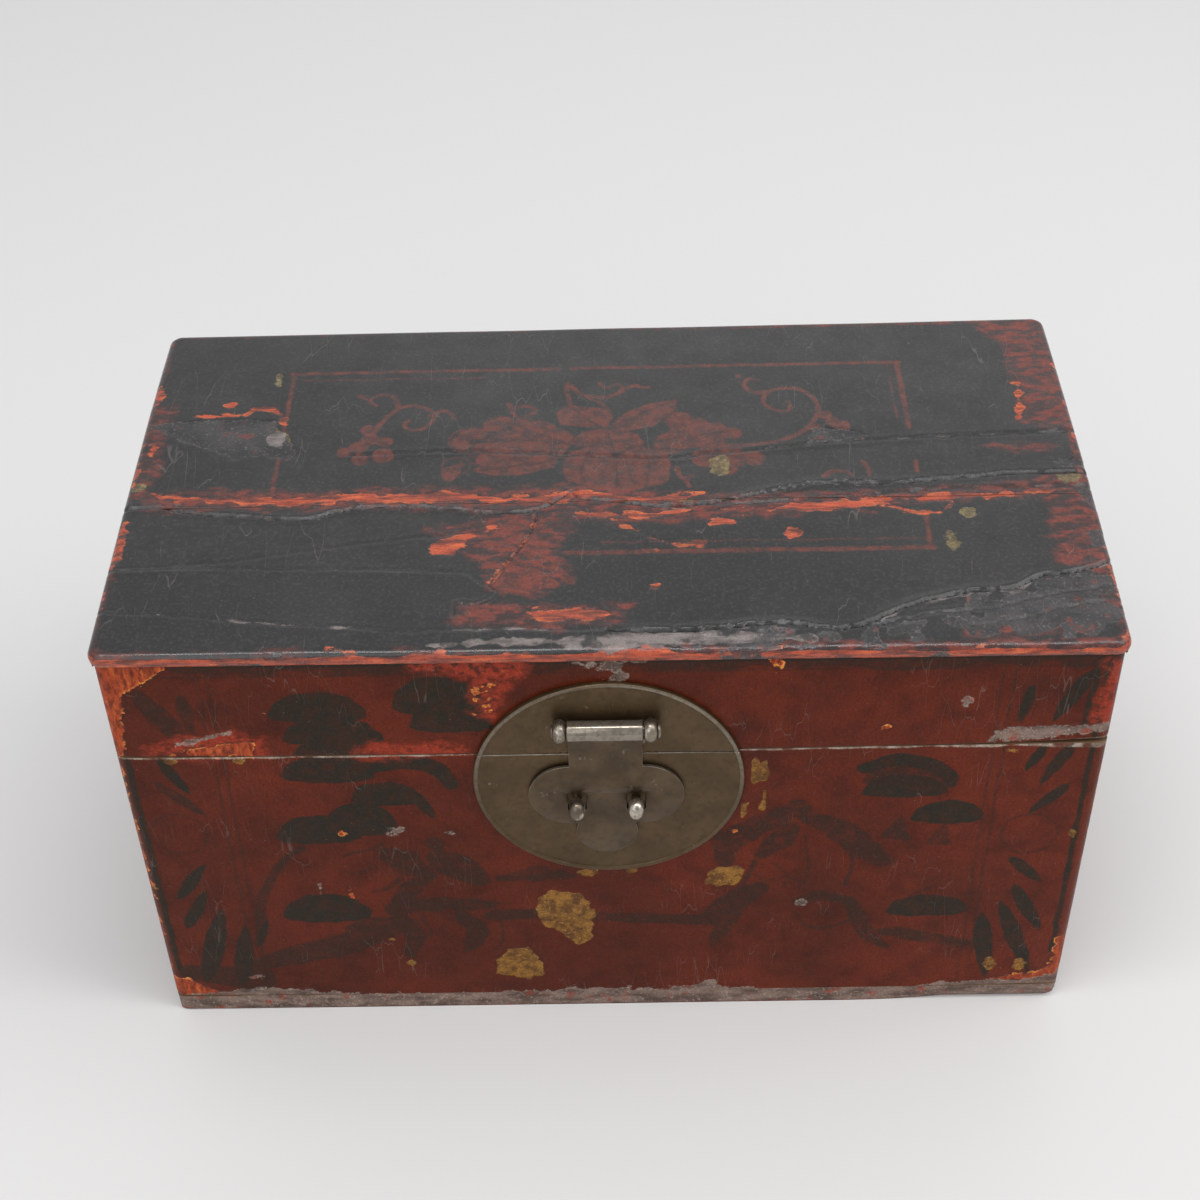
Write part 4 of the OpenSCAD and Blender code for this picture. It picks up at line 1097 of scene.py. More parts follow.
class Recipe:
    def __init__(self, name):
        self.material = bpy.data.materials.new(name)
        self.material.use_nodes = True
        self.tree = self.material.node_tree
        self.shader = self.tree.nodes["Principled BSDF"]
        self.place = self.node("ShaderNodeTexCoord").outputs["Object"]

    def node(self, kind, **settings):
        made = self.tree.nodes.new(kind)
        for key, value in settings.items():
            setattr(made, key, value)
        return made

    def put(self, socket, value):
        if hasattr(value, "is_linked"):
            self.tree.links.new(value, socket)
        elif isinstance(value, tuple) and len(value) == 3 and socket.type == "RGBA":
            socket.default_value = (*value, 1)
        else:
            socket.default_value = value

    def scaled(self, size, stretch=(1, 1, 1), shift=0.0):
        """The object's own coordinates, with one unit for `size` millimetres."""
        step = self.node("ShaderNodeMapping")
        self.put(step.inputs["Vector"], self.place)
        step.inputs["Scale"].default_value = [1 / (MM * size * s) for s in stretch]
        step.inputs["Location"].default_value = (shift, shift * 1.7, shift * 0.6)
        return step.outputs["Vector"]

    def noise(self, size, detail=2.0, stretch=(1, 1, 1), shift=0.0, rough=0.55, warp=0.0):
        made = self.node("ShaderNodeTexNoise")
        self.put(made.inputs["Vector"], self.scaled(size, stretch, shift))
        made.inputs["Scale"].default_value = 1
        made.inputs["Detail"].default_value = detail
        made.inputs["Roughness"].default_value = rough
        made.inputs["Distortion"].default_value = warp
        return made.outputs["Fac"]

    def cells(self, size, feature="DISTANCE_TO_EDGE", stretch=(1, 1, 1), shift=0.0, wobble=0.0):
        made = self.node("ShaderNodeTexVoronoi", feature=feature)
        vector = self.scaled(size, stretch, shift)
        if wobble:
            bend = self.node("ShaderNodeTexNoise")
            self.put(bend.inputs["Vector"], self.scaled(size * 0.8, stretch, shift + 3))
            bend.inputs["Scale"].default_value = 1
            add = self.node("ShaderNodeVectorMath", operation="MULTIPLY_ADD")
            self.put(add.inputs[0], bend.outputs["Color"])
            add.inputs[1].default_value = (wobble, wobble, wobble)
            self.put(add.inputs[2], vector)
            vector = add.outputs["Vector"]
        self.put(made.inputs["Vector"], vector)
        made.inputs["Scale"].default_value = 1
        return made.outputs["Distance"]

    def layer(self, name):
        return self.node("ShaderNodeAttribute", attribute_name=name).outputs["Fac"]

    def fade(self, value, low, high, start=0.0, end=1.0):
        made = self.node("ShaderNodeMapRange", interpolation_type="SMOOTHSTEP")
        items = {"Value": value, "From Min": low, "From Max": high, "To Min": start, "To Max": end}
        for key, item in items.items():
            self.put(made.inputs[key], item)
        return made.outputs["Result"]

    def sum(self, operation, *values):
        made = self.node("ShaderNodeMath", operation=operation)
        for socket, value in zip(made.inputs, values):
            self.put(socket, value)
        return made.outputs["Value"]

    def mix(self, share, first, second):
        made = self.node("ShaderNodeMix", data_type="RGBA")
        self.put(made.inputs["Factor"], share)
        self.put(made.inputs[6], first)
        self.put(made.inputs[7], second)
        return made.outputs[2]

    def edge(self, name, jitter, soft=0.035, grow=0.0):
        """A painted or lost area, cut sharply where its distance passes one half."""
        value = self.sum("ADD", self.layer(name), jitter)
        return self.fade(value, 0.5 - soft - grow, 0.5 + soft - grow)

    def bump(self, height, strength, distance, before=None):
        made = self.node("ShaderNodeBump")
        made.inputs["Strength"].default_value = strength
        made.inputs["Distance"].default_value = distance * MM
        self.put(made.inputs["Height"], height)
        if before is not None:
            self.put(made.inputs["Normal"], before)
        return made.outputs["Normal"]

    def finish(self, colour, roughness, normal, metallic=0.0, specular=0.5):
        self.put(self.shader.inputs["Base Color"], colour)
        self.put(self.shader.inputs["Roughness"], roughness)
        self.put(self.shader.inputs["Metallic"], metallic)
        self.shader.inputs["Specular IOR Level"].default_value = specular
        self.put(self.shader.inputs["Normal"], normal)
        return self.material


# %% [markdown]
# ## Lacquer
#
# One recipe serves the red sides and the black top, with other colours and scales. Each layer is a
# short function that takes the colour so far and returns it with the layer on it: the ground colour and
# the painting first, then rubbed and bared red, ochre stains, the grey ground and the splits. Fine
# crazing, scratches and dust come last, because they lie on everything. The last function calls the
# others in turn, and lets the lost places be rougher and deeper than the sound ones.

# %% Ground colour and painting
UNDER_GLOW = (0.85, 0.308, 0.063)
BURNT_RIM = (0.0168, 0.0112, 0.0098)
DARK_SPLIT = (0.0084, 0.007, 0.007)
DUST = (0.588, 0.518, 0.476)


def lacquer_field(r, tint, across):
    """The lacquer's own colour, clouded in three sizes."""
    dim = tuple(0.40 * c for c in tint["deep"])
    field = r.mix(r.fade(r.noise(60, 3, shift=1.3), 0.36, 0.66), tint["deep"], tint["light"])
    field = r.mix(r.fade(r.noise(14, 4, shift=17.3), 0.42, 0.72, 0, 0.5), field, dim)
    return r.mix(r.fade(r.noise(0.9, 3, across, 14.1), 0.46, 0.80, 0, 0.30), field, dim)


def lacquer_painting(r, tint, field, jitter, small, keeps):
    """Adds the painting, faded in places, and the softer strokes beside it."""
    faded = r.fade(r.noise(5, 5, shift=7.7), 0.36, 0.62, keeps, 1)
    colour = r.mix(r.sum("MULTIPLY", r.edge("painted", jitter, 0.05), faded), field, tint["paint"])
    soft = r.sum("MULTIPLY", r.edge("shadowed", jitter, 0.07), r.fade(small, 0.3, 0.6, 0.42, 0.78))
    return r.mix(soft, colour, tint["shade"])


# %% Rubbed lacquer and bared red


def lacquer_rubbed(r, tint, colour, tear, along, cover):
    """Lacquer worn thin, so that red shows: the lower `cover`, the more. Returns where it is worn too."""
    mottle = r.noise(3.2, 5, (1 + 0.2 * along[0], 1, 1), 21.0)
    rubbed = r.sum("MULTIPLY", r.edge("rubbed", tear, 0.22), r.fade(mottle, cover, cover + 0.22, 0.12, 0.9))
    blush = r.mix(r.fade(r.noise(1.6, 4, shift=25.0), 0.54, 0.66, 0, 0.75), tint["rubbed"], tint["blush"])
    return r.mix(rubbed, colour, blush), rubbed


def lacquer_bared(r, tint, colour, tear, small, along, keeps, rim_glow):
    """Lacquer chipped down to the bright red, with a dark rim outside and a glowing one inside."""
    bared = r.edge("bared", tear, 0.03)
    islands = r.fade(r.noise(3.0, 5, along, 9.1), 0.50, 0.60, 1, 0.15 + 0.6 * keeps ** 2)
    shown = r.sum("MULTIPLY", bared, islands)
    dark_rim = r.sum("SUBTRACT", r.edge("bared", tear, 0.05, 0.05), bared)
    light_rim = r.sum("SUBTRACT", bared, r.edge("bared", tear, 0.03, -0.07))
    under = r.mix(r.fade(r.noise(1.5, 4, along, 4.1), 0.36, 0.60), tint["low"], tint["middle"])
    under = r.mix(r.fade(r.noise(2.2, 5, along, 12.7), 0.50, 0.72), under, tint["high"])
    glow = r.sum("MULTIPLY", light_rim, r.fade(small, 0.48, 0.60, 0, rim_glow))
    under = r.mix(glow, under, UNDER_GLOW)
    colour = r.mix(r.sum("MULTIPLY", dark_rim, 0.7), colour, BURNT_RIM)
    return r.mix(shown, colour, under), shown


# %% Ochre, grey ground, splits and the pale seam


def lacquer_ochre(r, tint, colour, frayed, fine):
    ochre = r.edge("ochre", frayed, 0.03)
    blotch = r.fade(r.noise(3.6, 5, shift=5.2), 0.36, 0.66)
    stain = r.mix(blotch, tint["dark_ochre"], tint["ochre"])
    stain = r.mix(r.fade(r.noise(1.5, 4, shift=15.2), 0.58, 0.68, 0, 0.7), stain, tint["dry_ochre"])
    return r.mix(r.sum("MULTIPLY", ochre, r.fade(fine, 0.3, 0.6, 0.65, 0.95)), colour, stain), ochre


def lacquer_ground(r, tint, colour, tear, fine):
    """Lacquer lost down to the grey clay, which is chalky at its rim and stained red in places."""
    ground = r.edge("ground", tear, 0.05)
    clay = r.mix(r.fade(r.noise(5, 5, (2.5, 2.5, 1), 8.4), 0.34, 0.66), tint["clay"], tint["dry_clay"])
    clay = r.mix(r.fade(r.noise(1.3, 4, shift=2.9), 0.56, 0.70, 0, 0.6), clay, tint["chalk"])
    clay = r.mix(r.fade(r.noise(7, 4, shift=31.0), 0.56, 0.70, 0, 0.7), clay, tint["rubbed"])
    clay_rim = r.sum("SUBTRACT", ground, r.edge("ground", tear, 0.03, -0.05))
    clay = r.mix(r.sum("MULTIPLY", clay_rim, r.fade(fine, 0.40, 0.60, 0, 0.7)), clay, tint["chalk"])
    return r.mix(r.sum("MULTIPLY", ground, 0.93), colour, clay), ground


def lacquer_splits(r, tint, colour, jitter, small, along):
    """Dark splits with a lit side, and the pale worn edge along the parting line."""
    split = r.edge("split", jitter, 0.04)
    lit_side = r.sum("SUBTRACT", r.edge("split", jitter, 0.04, 0.07), split)
    lit_side = r.sum("MULTIPLY", lit_side, r.fade(r.noise(9, 3, along, 41.0), 0.48, 0.6, 0, 0.6))
    colour = r.mix(lit_side, colour, tint["dry_clay"])
    colour = r.mix(r.sum("MULTIPLY", split, 0.9), colour, DARK_SPLIT)
    broken = r.fade(r.noise(7, 4, shift=51.0), 0.36, 0.50, 0.15, 0.9)
    seam_shown = r.sum("MULTIPLY", r.edge("seam", jitter, 0.03), broken)
    return r.mix(seam_shown, colour, r.mix(r.fade(small, 0.4, 0.6), tint["torn"], tint["pale"]))


# %% Crazing, scratches and dust


def lacquer_dust(r, colour, crazing, across, film):
    """What lies on everything: fine cracks, scratches, specks and a film. Returns the cracks too."""
    shaded = r.node("ShaderNodeVectorMath", operation="SCALE")
    r.put(shaded.inputs[0], colour)
    r.put(shaded.inputs["Scale"], r.fade(r.noise(0.55, 2, shift=27.0), 0.3, 0.7, 0.80, 1.22))
    craze = r.cells(crazing, stretch=across, wobble=0.5)
    crazed = r.fade(r.noise(26, 2, shift=5.5), 0.49, 0.62)
    hairline = r.sum("MULTIPLY", r.fade(craze, 0.002, 0.011, 1, 0), crazed)
    scratch = r.fade(r.noise(1.1, 2, (0.5, 1, 9), 11.0, warp=0.4), 0.72, 0.78)
    scratch = r.sum("MULTIPLY", scratch, r.fade(r.noise(22, 3, shift=9.9), 0.52, 0.66))
    speck = r.fade(r.cells(6, "F1", shift=3.7), 0.02, 0.045, 1, 0)
    dust = r.sum("MAXIMUM", r.sum("MULTIPLY", hairline, 0.085), r.sum("MULTIPLY", scratch, 0.09))
    dust = r.sum("MAXIMUM", dust, r.sum("MULTIPLY", speck, 0.2))
    dust = r.sum("ADD", dust, r.fade(r.noise(1.3, 4, shift=61.0), 0.46, 0.72, 0, film))
    return r.mix(dust, shaded.outputs["Vector"], DUST), hairline


# %% The whole lacquer, red and black


def lacquer(name, tint, along, across, crazing, gloss, specular, keeps, rim_glow, film, cover):
    """`along` and `across` stretch patterns with the grain and against it; `tint` holds the colours."""
    r = Recipe(name)
    small, fine = r.noise(3.6, 3, (1 + along[0] * 0.25, 1, 1), 2.2), r.noise(0.8, 2, shift=6.2)
    jitter = r.sum("MULTIPLY_ADD", fine, 0.10, -0.05)
    tear = r.sum("ADD", r.sum("MULTIPLY_ADD", small, 0.62, -0.31), jitter)
    colour = lacquer_painting(r, tint, lacquer_field(r, tint, across), jitter, small, keeps)
    colour, rubbed = lacquer_rubbed(r, tint, colour, tear, along, cover)
    colour, shown = lacquer_bared(r, tint, colour, tear, small, along, keeps, rim_glow)
    colour, ochre = lacquer_ochre(r, tint, colour, r.sum("MULTIPLY", tear, 0.45), fine)
    colour, ground = lacquer_ground(r, tint, colour, tear, fine)
    colour = lacquer_splits(r, tint, colour, jitter, small, along)
    colour, hairline = lacquer_dust(r, colour, crazing, across, film)

    bare = r.sum("MAXIMUM", r.sum("MAXIMUM", shown, ground), r.sum("MULTIPLY", rubbed, 0.6))
    smear = r.fade(r.noise(18, 4, shift=12.1), 0.3, 0.7, gloss - 0.03, gloss + 0.07)
    roughness = r.fade(bare, 0, 1, smear, 0.52)
    roughness = r.sum("MULTIPLY", roughness, r.fade(r.layer("handled_and_highlit"), 0, 1, 1, 0.5))
    loss = r.sum("MAXIMUM", shown, r.sum("MULTIPLY", ochre, 0.7))
    grit = r.sum("MULTIPLY", r.noise(1.1, 5, along, 1.1), r.fade(bare, 0, 1, 0.12, 1.0))
    height = r.sum("SUBTRACT", r.sum("SUBTRACT", grit, loss), r.sum("MULTIPLY", hairline, 0.4))
    normal = r.bump(height, 0.7, 0.28)
    normal = r.bump(r.noise(22, 3, shift=3.0), 0.3, 1.0, normal)
    return r.finish(colour, roughness, normal, 0.0, specular)


RED = lacquer("red_lacquer", {
    "deep": (0.084, 0.0115, 0.0026), "light": (0.134, 0.0165, 0.0034), "paint": (0.0200, 0.0140, 0.0080),
    "shade": (0.0270, 0.0125, 0.0070), "rubbed": (0.310, 0.0330, 0.0140), "low": (0.165, 0.027, 0.011),
    "middle": (0.40, 0.062, 0.018), "high": (0.56, 0.120, 0.028), "clay": (0.100, 0.068, 0.055),
    "dry_clay": (0.260, 0.184, 0.148), "chalk": (0.46, 0.38, 0.32), "torn": (0.22, 0.15, 0.11),
    "blush": (0.40, 0.062, 0.018), "pale": (0.40, 0.33, 0.27), "dark_ochre": (0.115, 0.050, 0.012),
    "ochre": (0.32, 0.150, 0.026), "dry_ochre": (0.476, 0.252, 0.077),
}, along=(1, 1, 3), across=(0.8, 0.8, 5), crazing=7, gloss=0.36, specular=0.14, keeps=0.8, rim_glow=0.9,
              film=0.012, cover=0.34)
BLACK = lacquer("black_lacquer", {
    "deep": (0.0095, 0.0086, 0.0084), "light": (0.0170, 0.0145, 0.0140), "paint": (0.108, 0.0215, 0.0115),
    "shade": (0.014, 0.0065, 0.0060), "rubbed": (0.165, 0.0250, 0.0130), "low": (0.190, 0.026, 0.010),
    "middle": (0.42, 0.060, 0.018), "high": (0.60, 0.110, 0.030), "clay": (0.014, 0.013, 0.014),
    "dry_clay": (0.042, 0.038, 0.039), "chalk": (0.150, 0.128, 0.122), "torn": (0.100, 0.080, 0.074),
    "blush": (0.24, 0.034, 0.013), "pale": (0.215, 0.178, 0.165), "dark_ochre": (0.075, 0.050, 0.018),
    "ochre": (0.195, 0.145, 0.055), "dry_ochre": (0.31, 0.255, 0.125),
}, along=(6, 1, 1), across=(1, 6, 1), crazing=9, gloss=0.36, specular=0.66, keeps=0.35, rim_glow=0.15,
                film=0.036, cover=0.41)

# %% [markdown]
# ## Wood, bamboo and brass
#
# Inside, the boards were never painted: plain wood, brown with age, its grain running along the board.
# The brass has two looks. Plates and leaves are dull and olive brown, with a cleaner gleam where hands
# and cloths have rubbed, and painted highlights on the plate's upper bead, the lower plate's cut edge
# and the hasp's rim. Rolled and folded bits are worn back to bright metal on their high spots.

# %% Wood recipe


def wood(name, dark, pale, long_side):
    r = Recipe(name)
    stretch = [1.0, 1.0, 1.0]
    stretch[long_side] = 14
    grain = r.noise(3.0, 5, tuple(stretch), 1.9, 0.6, 0.6)
    pores = r.fade(r.noise(0.7, 2, tuple(s * 1.6 for s in stretch), 6.6), 0.56, 0.7)
    stain = r.noise(45, 3, shift=7.4)
    colour = r.mix(r.fade(grain, 0.32, 0.70), dark, pale)
    colour = r.mix(r.sum("MULTIPLY", pores, 0.6), colour, tuple(0.4 * c for c in dark))
    colour = r.mix(r.fade(stain, 0.5, 0.75, 0, 0.5), colour, tuple(0.55 * c for c in dark))
    normal = r.bump(r.sum("SUBTRACT", grain, r.sum("MULTIPLY", pores, 0.7)), 0.4, 0.25)
    return r.finish(colour, r.fade(grain, 0.3, 0.7, 0.62, 0.8), normal, 0.0, 0.3)


WOOD_DARK, WOOD_PALE = (0.111, 0.0598, 0.0312), (0.273, 0.163, 0.0884)
WOOD_X = wood("bare_wood", WOOD_DARK, WOOD_PALE, 0)
WOOD_Y = wood("bare_wood_ends", WOOD_DARK, WOOD_PALE, 1)
BAMBOO = wood("bamboo", (0.312, 0.195, 0.078), (0.546, 0.364, 0.169), 2)

# %% Brass recipe
VERDIGRIS = (0.0643, 0.0858, 0.0643)


def brass(name, dark, mid, bright, shine, rubbed, gloss):
    """`rubbed` is how clouded the brass has to be to gleam: the lower, the brighter the piece."""
    r = Recipe(name)
    cloud = r.noise(16, 4, shift=2.6)
    mottle = r.noise(2.6, 4, shift=5.9)
    colour = r.mix(r.fade(cloud, 0.35, 0.66), dark, mid)
    colour = r.mix(r.fade(mottle, 0.5, 0.72, 0, 0.3), colour, tuple(0.6 * c for c in dark))
    # Rubbed places, and the painted highlights on the plate's upper bead, its cut edge and the hasp's rim:
    # brighter, smoother and less bumpy.
    handled_and_highlit = r.layer("handled_and_highlit")
    worn = r.sum("ADD", r.noise(9, 3, shift=8.8), r.fade(r.noise(1.2, 2, (1, 1, 5)), 0, 1, -0.1, 0.1))
    rub = r.fade(worn, rubbed, rubbed + 0.14, 0, 0.7)
    patchy = r.fade(r.noise(2.2, 3, shift=3.8), 0.3, 0.6, 0.55, 1)
    rub = r.sum("MAXIMUM", rub, r.sum("MULTIPLY", handled_and_highlit, patchy))
    colour = r.mix(rub, colour, bright)
    green = r.fade(r.noise(3.2, 4, shift=14.3), 0.72, 0.80, 0, 0.3)
    colour = r.mix(green, colour, VERDIGRIS)
    scratch = r.fade(r.noise(0.9, 2, (0.35, 1, 6), 4.4, warp=0.5), 0.70, 0.78)
    colour = r.mix(r.sum("MULTIPLY", scratch, 0.30), colour, bright)
    dull = r.sum("SUBTRACT", mottle, r.sum("MULTIPLY", rub, 0.35))
    roughness = r.fade(dull, 0.2, 0.75, gloss - 0.1, gloss + 0.16)
    roughness = r.sum("MULTIPLY", roughness, r.fade(handled_and_highlit, 0, 1, 1, 0.6))
    height = r.sum("SUBTRACT", mottle, r.sum("MULTIPLY", scratch, 0.35))
    height = r.sum("MULTIPLY", height, r.fade(handled_and_highlit, 0, 1, 1, 0.2))
    return r.finish(colour, roughness, r.bump(height, 0.22, 0.18), shine, 0.5)


PLATE_BRASS = brass(
    "dark_brass", dark=(0.083, 0.0525, 0.0255), mid=(0.106, 0.0670, 0.0325), bright=(0.33, 0.29, 0.235),
    shine=0.75, rubbed=0.69, gloss=0.36)
HASP_BRASS = brass(
    "hasp_brass", dark=(0.074, 0.050, 0.030), mid=(0.116, 0.079, 0.046), bright=(0.300, 0.265, 0.220),
    shine=0.75, rubbed=0.68, gloss=0.34)
WORN_BRASS = brass(
    "worn_brass", dark=(0.143, 0.114, 0.0858), mid=(0.272, 0.229, 0.179), bright=(0.658, 0.586, 0.5),
    shine=0.90, rubbed=0.50, gloss=0.30)
print("brass:", [skin.name for skin in (PLATE_BRASS, HASP_BRASS, WORN_BRASS)])

# %% [markdown]
# ## The lock plate
#
# The plate is a disc of sheet brass with a bead raised round its rim. It starts as a circle, gets its
# rings by insetting, and is cut in two along the parting line, for the lid and the case. A few dents
# and a soft hollow keep it from looking new.

# %% Lock plate
PLATE_LOW, PLATE_HIGH = span("lock_plate_lower")
PLATE_R = (PLATE_HIGH[0] - PLATE_LOW[0]) / 2
PLATE_X = (PLATE_HIGH[0] + PLATE_LOW[0]) / 2
PLATE_Z = PLATE_LOW[2] + PLATE_R
PLATE_SIDES = 540
BEAD, BEAD_HEIGHT = 1.0, 0.8
MILLED = 0.12
HOLLOW, HOLLOW_RADIUS = 0.25, 40
PLATE_T = PLATE_HIGH[1] - PLATE_LOW[1] - BEAD
UPPER_LOW = span("lock_plate_upper")[0]
RING_STEPS = [0.12, 0.18, 0.25, 0.3, 0.35, 0.4, 0.4, 0.5, 0.6] + [2.0] * 22
# Each dent: its place across and up, its size and its depth.
DENTS = [
    (-44, 139.6, 3.2, 0.5), (33.8, 146, 1.8, 0.35), (37, 141, 1.5, 0.3), (29.8, 164, 1.7, 0.4),
    (-33.5, 171, 2.2, 0.3), (18, 102, 4, 0.3), (-20, 108, 6, 0.25), (-47, 152, 4, 0.3),
]


def plate_disc():
    bpy.ops.mesh.primitive_circle_add(vertices=PLATE_SIDES, radius=PLATE_R, fill_type="NGON")
    piece = bpy.context.object
    bpy.ops.object.mode_set(mode="EDIT")
    bpy.ops.mesh.select_all(action="SELECT")
    for step in RING_STEPS:
        bpy.ops.mesh.inset(thickness=step)
    bpy.ops.mesh.select_all(action="SELECT")
    bpy.ops.mesh.region_to_loop()
    bpy.ops.mesh.extrude_edges_move(TRANSFORM_OT_translate={"value": (0, 0, -PLATE_T)})
    bpy.ops.mesh.edge_face_add()
    bpy.ops.mesh.select_all(action="DESELECT")
    bpy.ops.object.mode_set(mode="OBJECT")
    co = points_of(piece)
    radius = np.hypot(co[:, 0], co[:, 1])
    angle = np.degrees(np.arctan2(co[:, 1], co[:, 0]))
    front = co[:, 2] > -PLATE_T / 2
    x, z = PLATE_X + co[:, 0], PLATE_Z + co[:, 1]
    bead = np.sqrt(np.clip(1 - ((radius - (PLATE_R - BEAD)) / BEAD) ** 2, 0, 1)) * BEAD_HEIGHT
    milled = MILLED * np.cos(np.radians(angle) * 180) * np.clip(1 - np.abs(angle - 85) / 70, 0, 1)
    height = np.where(bead > 0, bead + milled * bead, 0)
    height = height * (0.75 + 0.25 * ripple(angle, radius, 14, 301)) + 0.12 * ripple(x, z, 18, 303)
    height = height - HOLLOW * np.clip(1 - radius / HOLLOW_RADIUS, 0, 1)
    for dx, dz, size, depth in DENTS:
        height = height - depth * np.exp(-((x - dx) ** 2 + (z - dz) ** 2) / (size / 1.6) ** 2)
    y = np.where(front, FACE - PLATE_T - np.clip(height, -0.9, BEAD), FACE)
    # The bead is rubbed bright, and brighter towards its top as a painted highlight.
    highlight_upper_share = np.clip(0.5 + 0.6 * np.sin(np.radians(angle + 12)), 0.06, 1)
    bead_rub_and_highlight = bead / BEAD_HEIGHT * highlight_upper_share * (0.45 + 0.35 * ripple(angle, radius, 20, 305))
    keep_share(piece, "handled_and_highlit", bead_rub_and_highlight)
    set_points(piece, np.stack([x, y, z], 1))
    return piece


# How wide the cut edge is, and how strongly its upward face is brightened as a painted highlight.
CUT_EDGE, CUT_HIGHLIGHT = 0.4, 0.8


def cut_plate(disc, name, height, keep_upper):
    """One part of the plate, closed along the cut. The lower part's cut edge, which faces up, gets a
    painted highlight.
    """
    piece = disc.copy()
    piece.data = disc.data.copy()
    piece.name = name
    bpy.context.scene.collection.objects.link(piece)
    bpy.context.view_layer.objects.active = piece
    piece.select_set(True)
    bpy.ops.object.mode_set(mode="EDIT")
    bpy.ops.mesh.select_all(action="SELECT")
    bpy.ops.mesh.bisect(plane_co=(0, 0, height * MM), plane_no=(0, 0, 1), use_fill=True,
                        clear_inner=keep_upper, clear_outer=not keep_upper)
    if not keep_upper:
        bpy.ops.mesh.select_all(action="SELECT")
        bpy.ops.mesh.bisect(plane_co=(0, 0, (height - CUT_EDGE) * MM), plane_no=(0, 0, 1))
    bpy.ops.mesh.select_all(action="DESELECT")
    bpy.ops.object.mode_set(mode="OBJECT")
    piece.select_set(False)
    if not keep_upper:
        co = points_of(piece) / MM
        layer = piece.data.attributes["handled_and_highlit"].data
        handled_and_highlit = np.empty(len(co))
        layer.foreach_get("value", handled_and_highlit)
        # Painted highlight along the cut edge that faces up.
        handled_and_highlit[co[:, 2] > height - CUT_EDGE / 2] = CUT_HIGHLIGHT
        layer.foreach_set("value", handled_and_highlit.astype(np.float32))
    return piece


disc = plate_disc()
plate_lower = cut_plate(disc, "plate_lower", PLATE_HIGH[2], False)
plate_upper = cut_plate(disc, "plate_upper", UPPER_LOW[2], True)
bpy.data.objects.remove(disc)
print(f"lock plate {2 * PLATE_R:.1f} mm across and {PLATE_T:.1f} mm thick")

# %% [markdown]
# ## Small fittings
#
# Pins, eyes, staples, leaves, nails and handles already have their true shape in the working model. A
# copy of each is welded, its flat faces are joined, and a fine bevel takes the sharpness off its
# edges, as filing and handling did on the real ones.

# %% Dressed copies of the fittings
WELD = 0.002
FLAT_BELOW = 0.8
BEVEL_FROM, FITTING_SMOOTH_BELOW = 38, 40
SHEET_BEVEL, ROD_BEVEL = 0.22, 0.15


def dressed(node, name, material, body, bevel):
    source = frame["nodes"][node]
    piece = source.copy()
    piece.data = source.data.copy()
    for key in list(piece.keys()):
        del piece[key]
    piece.parent = None
    piece.name = name
    bpy.context.scene.collection.objects.link(piece)
    bpy.context.view_layer.objects.active = piece
    piece.select_set(True)
    bpy.ops.object.mode_set(mode="EDIT")
    bpy.ops.mesh.select_all(action="SELECT")
    bpy.ops.mesh.remove_doubles(threshold=WELD * MM)
    bpy.ops.mesh.dissolve_limited(angle_limit=math.radians(FLAT_BELOW))
    bpy.ops.mesh.select_all(action="DESELECT")
    bpy.ops.object.mode_set(mode="OBJECT")
    soften = piece.modifiers.new("soften", "BEVEL")
    soften.width = bevel * MM
    soften.segments = 2
    soften.limit_method = "ANGLE"
    soften.angle_limit = math.radians(BEVEL_FROM)
    bpy.ops.object.modifier_apply(modifier="soften")
    bpy.ops.object.shade_smooth_by_angle(angle=math.radians(FITTING_SMOOTH_BELOW))
    piece.select_set(False)
    piece.data.materials.clear()
    piece.data.materials.append(material)
    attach(piece, body)
    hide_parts(node)
    return piece


HASP_PIN_LOW, HASP_PIN_HIGH = span("hasp_pin")
PIN_Z = (HASP_PIN_LOW[2] + HASP_PIN_HIGH[2]) / 2
body_of = {node: body for body, nodes in frame["record"]["behaviour"]["bodies"].items() for node in nodes}
for node in ("hasp", "hinge_leaf_lower_left", "hinge_leaf_lower_right", "hinge_leaf_upper_left",
             "hinge_leaf_upper_right", "handle_roses_left", "handle_roses_right"):
    skin = HASP_BRASS if node == "hasp" else PLATE_BRASS
    dressed(node, node + "_aged", skin, body_of[node], SHEET_BEVEL)
hasp = bpy.data.objects["hasp_aged"]
co = points_of(hasp) / MM
print("points in the hasp:", len(co))
on_barrel = (co[:, 2] > PIN_Z - 2.6) & (co[:, 2] < PIN_Z + 4.3)
# The barrel is rubbed bright; the rim next to the plate gets a painted highlight, so that the hasp's
# outline shows.
highlight_rim = (co[:, 1] > FACE - PLATE_T - 1.85) & (co[:, 1] < co[:, 1].max() - 0.05)
keep_share(hasp, "handled_and_highlit", np.maximum(0.9 * on_barrel, 0.7 * highlight_rim))
for node in ("staple_left", "staple_right", "hasp_pin", "hasp_eye_left", "hasp_eye_right", "bail_left",
             "bail_right", "hinge_pin_left", "hinge_pin_right", "hinge_nails_case", "hinge_nails_lid",
             "handle_eyes_left", "handle_eyes_right"):
    dressed(node, node + "_aged", WORN_BRASS, body_of[node], ROD_BEVEL)

# %% [markdown]
# ## Putting it together
#
# Each board gets its lacquer outside and bare wood inside, takes the place of its plain piece, and
# rides on the case or the lid, so that it opens with it.

# %% Lacquer, wood and bodies


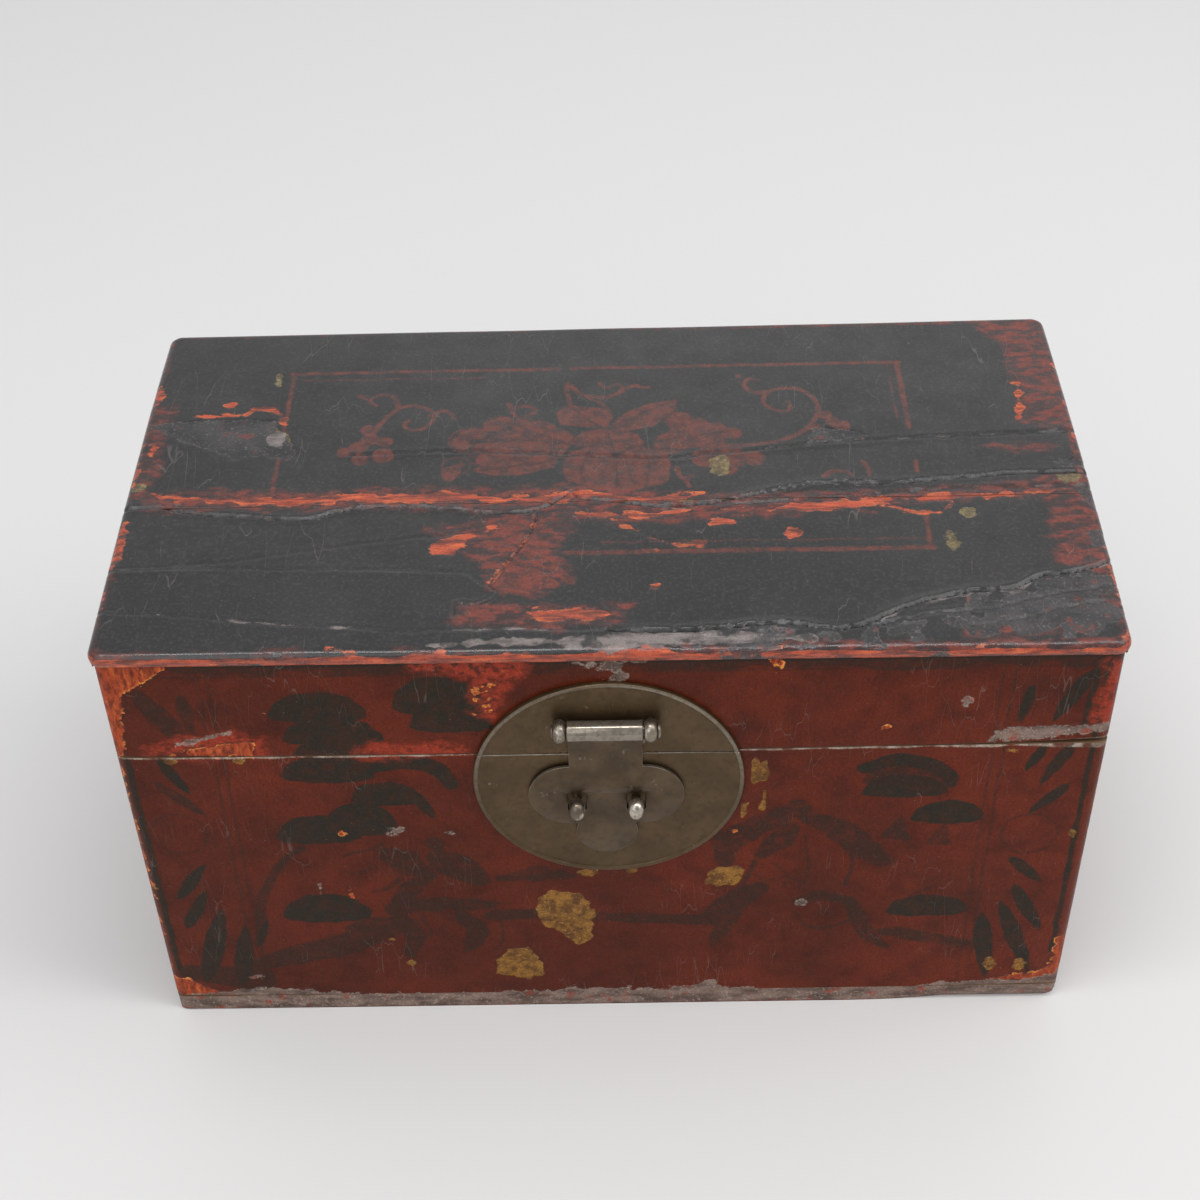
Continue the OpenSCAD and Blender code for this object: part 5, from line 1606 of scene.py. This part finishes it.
def dress_board(piece, node, body, skin, core, lacquered):
    """Lacquer on the faces that look outwards, wood on all others."""
    mesh = piece.data
    mesh.materials.clear()
    mesh.materials.append(skin)
    mesh.materials.append(core)
    normals = np.empty(len(mesh.polygons) * 3)
    mesh.polygons.foreach_get("normal", normals)
    normals = normals.reshape(-1, 3)
    outside = np.zeros(len(normals), bool)
    for axis in lacquered:
        outside |= normals @ np.array(axis) > 0.3
    mesh.polygons.foreach_set("material_index", np.where(outside, 0, 1).astype(np.int32))
    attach(piece, body)
    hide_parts(node)


OUT = {"front": (0, -1, 0), "back": (0, 1, 0), "left": (-1, 0, 0), "right": (1, 0, 0), "top": (0, 0, 1)}
for piece, node, body, side, core in (
        (case_front, "front_board", "case", "front", WOOD_X),
        (case_back, "back_board", "case", "back", WOOD_X),
        (case_left, "left_board", "case", "left", WOOD_Y),
        (case_right, "right_board", "case", "right", WOOD_Y),
        (lid_front, "lid_front_rail", "lid", "front", WOOD_X),
        (lid_back, "lid_back_rail", "lid", "back", WOOD_X),
        (lid_left, "lid_left_rail", "lid", "left", WOOD_Y),
        (lid_right, "lid_right_rail", "lid", "right", WOOD_Y)):
    faces = [OUT[side]] + ([OUT["left"], OUT["right"]] if side in ("front", "back") else [])
    dress_board(piece, node, body, RED, core, faces)
dress_board(top_front, "top_plank_front", "lid", BLACK, WOOD_X,
            [OUT["top"], OUT["front"], OUT["left"], OUT["right"]])
dress_board(top_back, "top_plank_back", "lid", BLACK, WOOD_X,
            [OUT["top"], OUT["back"], OUT["left"], OUT["right"]])
dress_board(case_bottom, "bottom_board", "case", RED, WOOD_X,
            [OUT["front"], OUT["back"], OUT["left"], OUT["right"]])

for piece, node, body in (
        (plate_lower, "lock_plate_lower", "case"), (plate_upper, "lock_plate_upper", "lid")):
    piece.data.materials.clear()
    piece.data.materials.append(PLATE_BRASS)
    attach(piece, body)
    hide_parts(node)

for node in ("bottom_pegs", "top_pegs"):
    pegs = frame["nodes"][node]
    pegs.data.materials.clear()
    pegs.data.materials.append(BAMBOO)

print("pieces dressed:", sum(1 for node in body_of if node not in ("bottom_pegs", "top_pegs")))
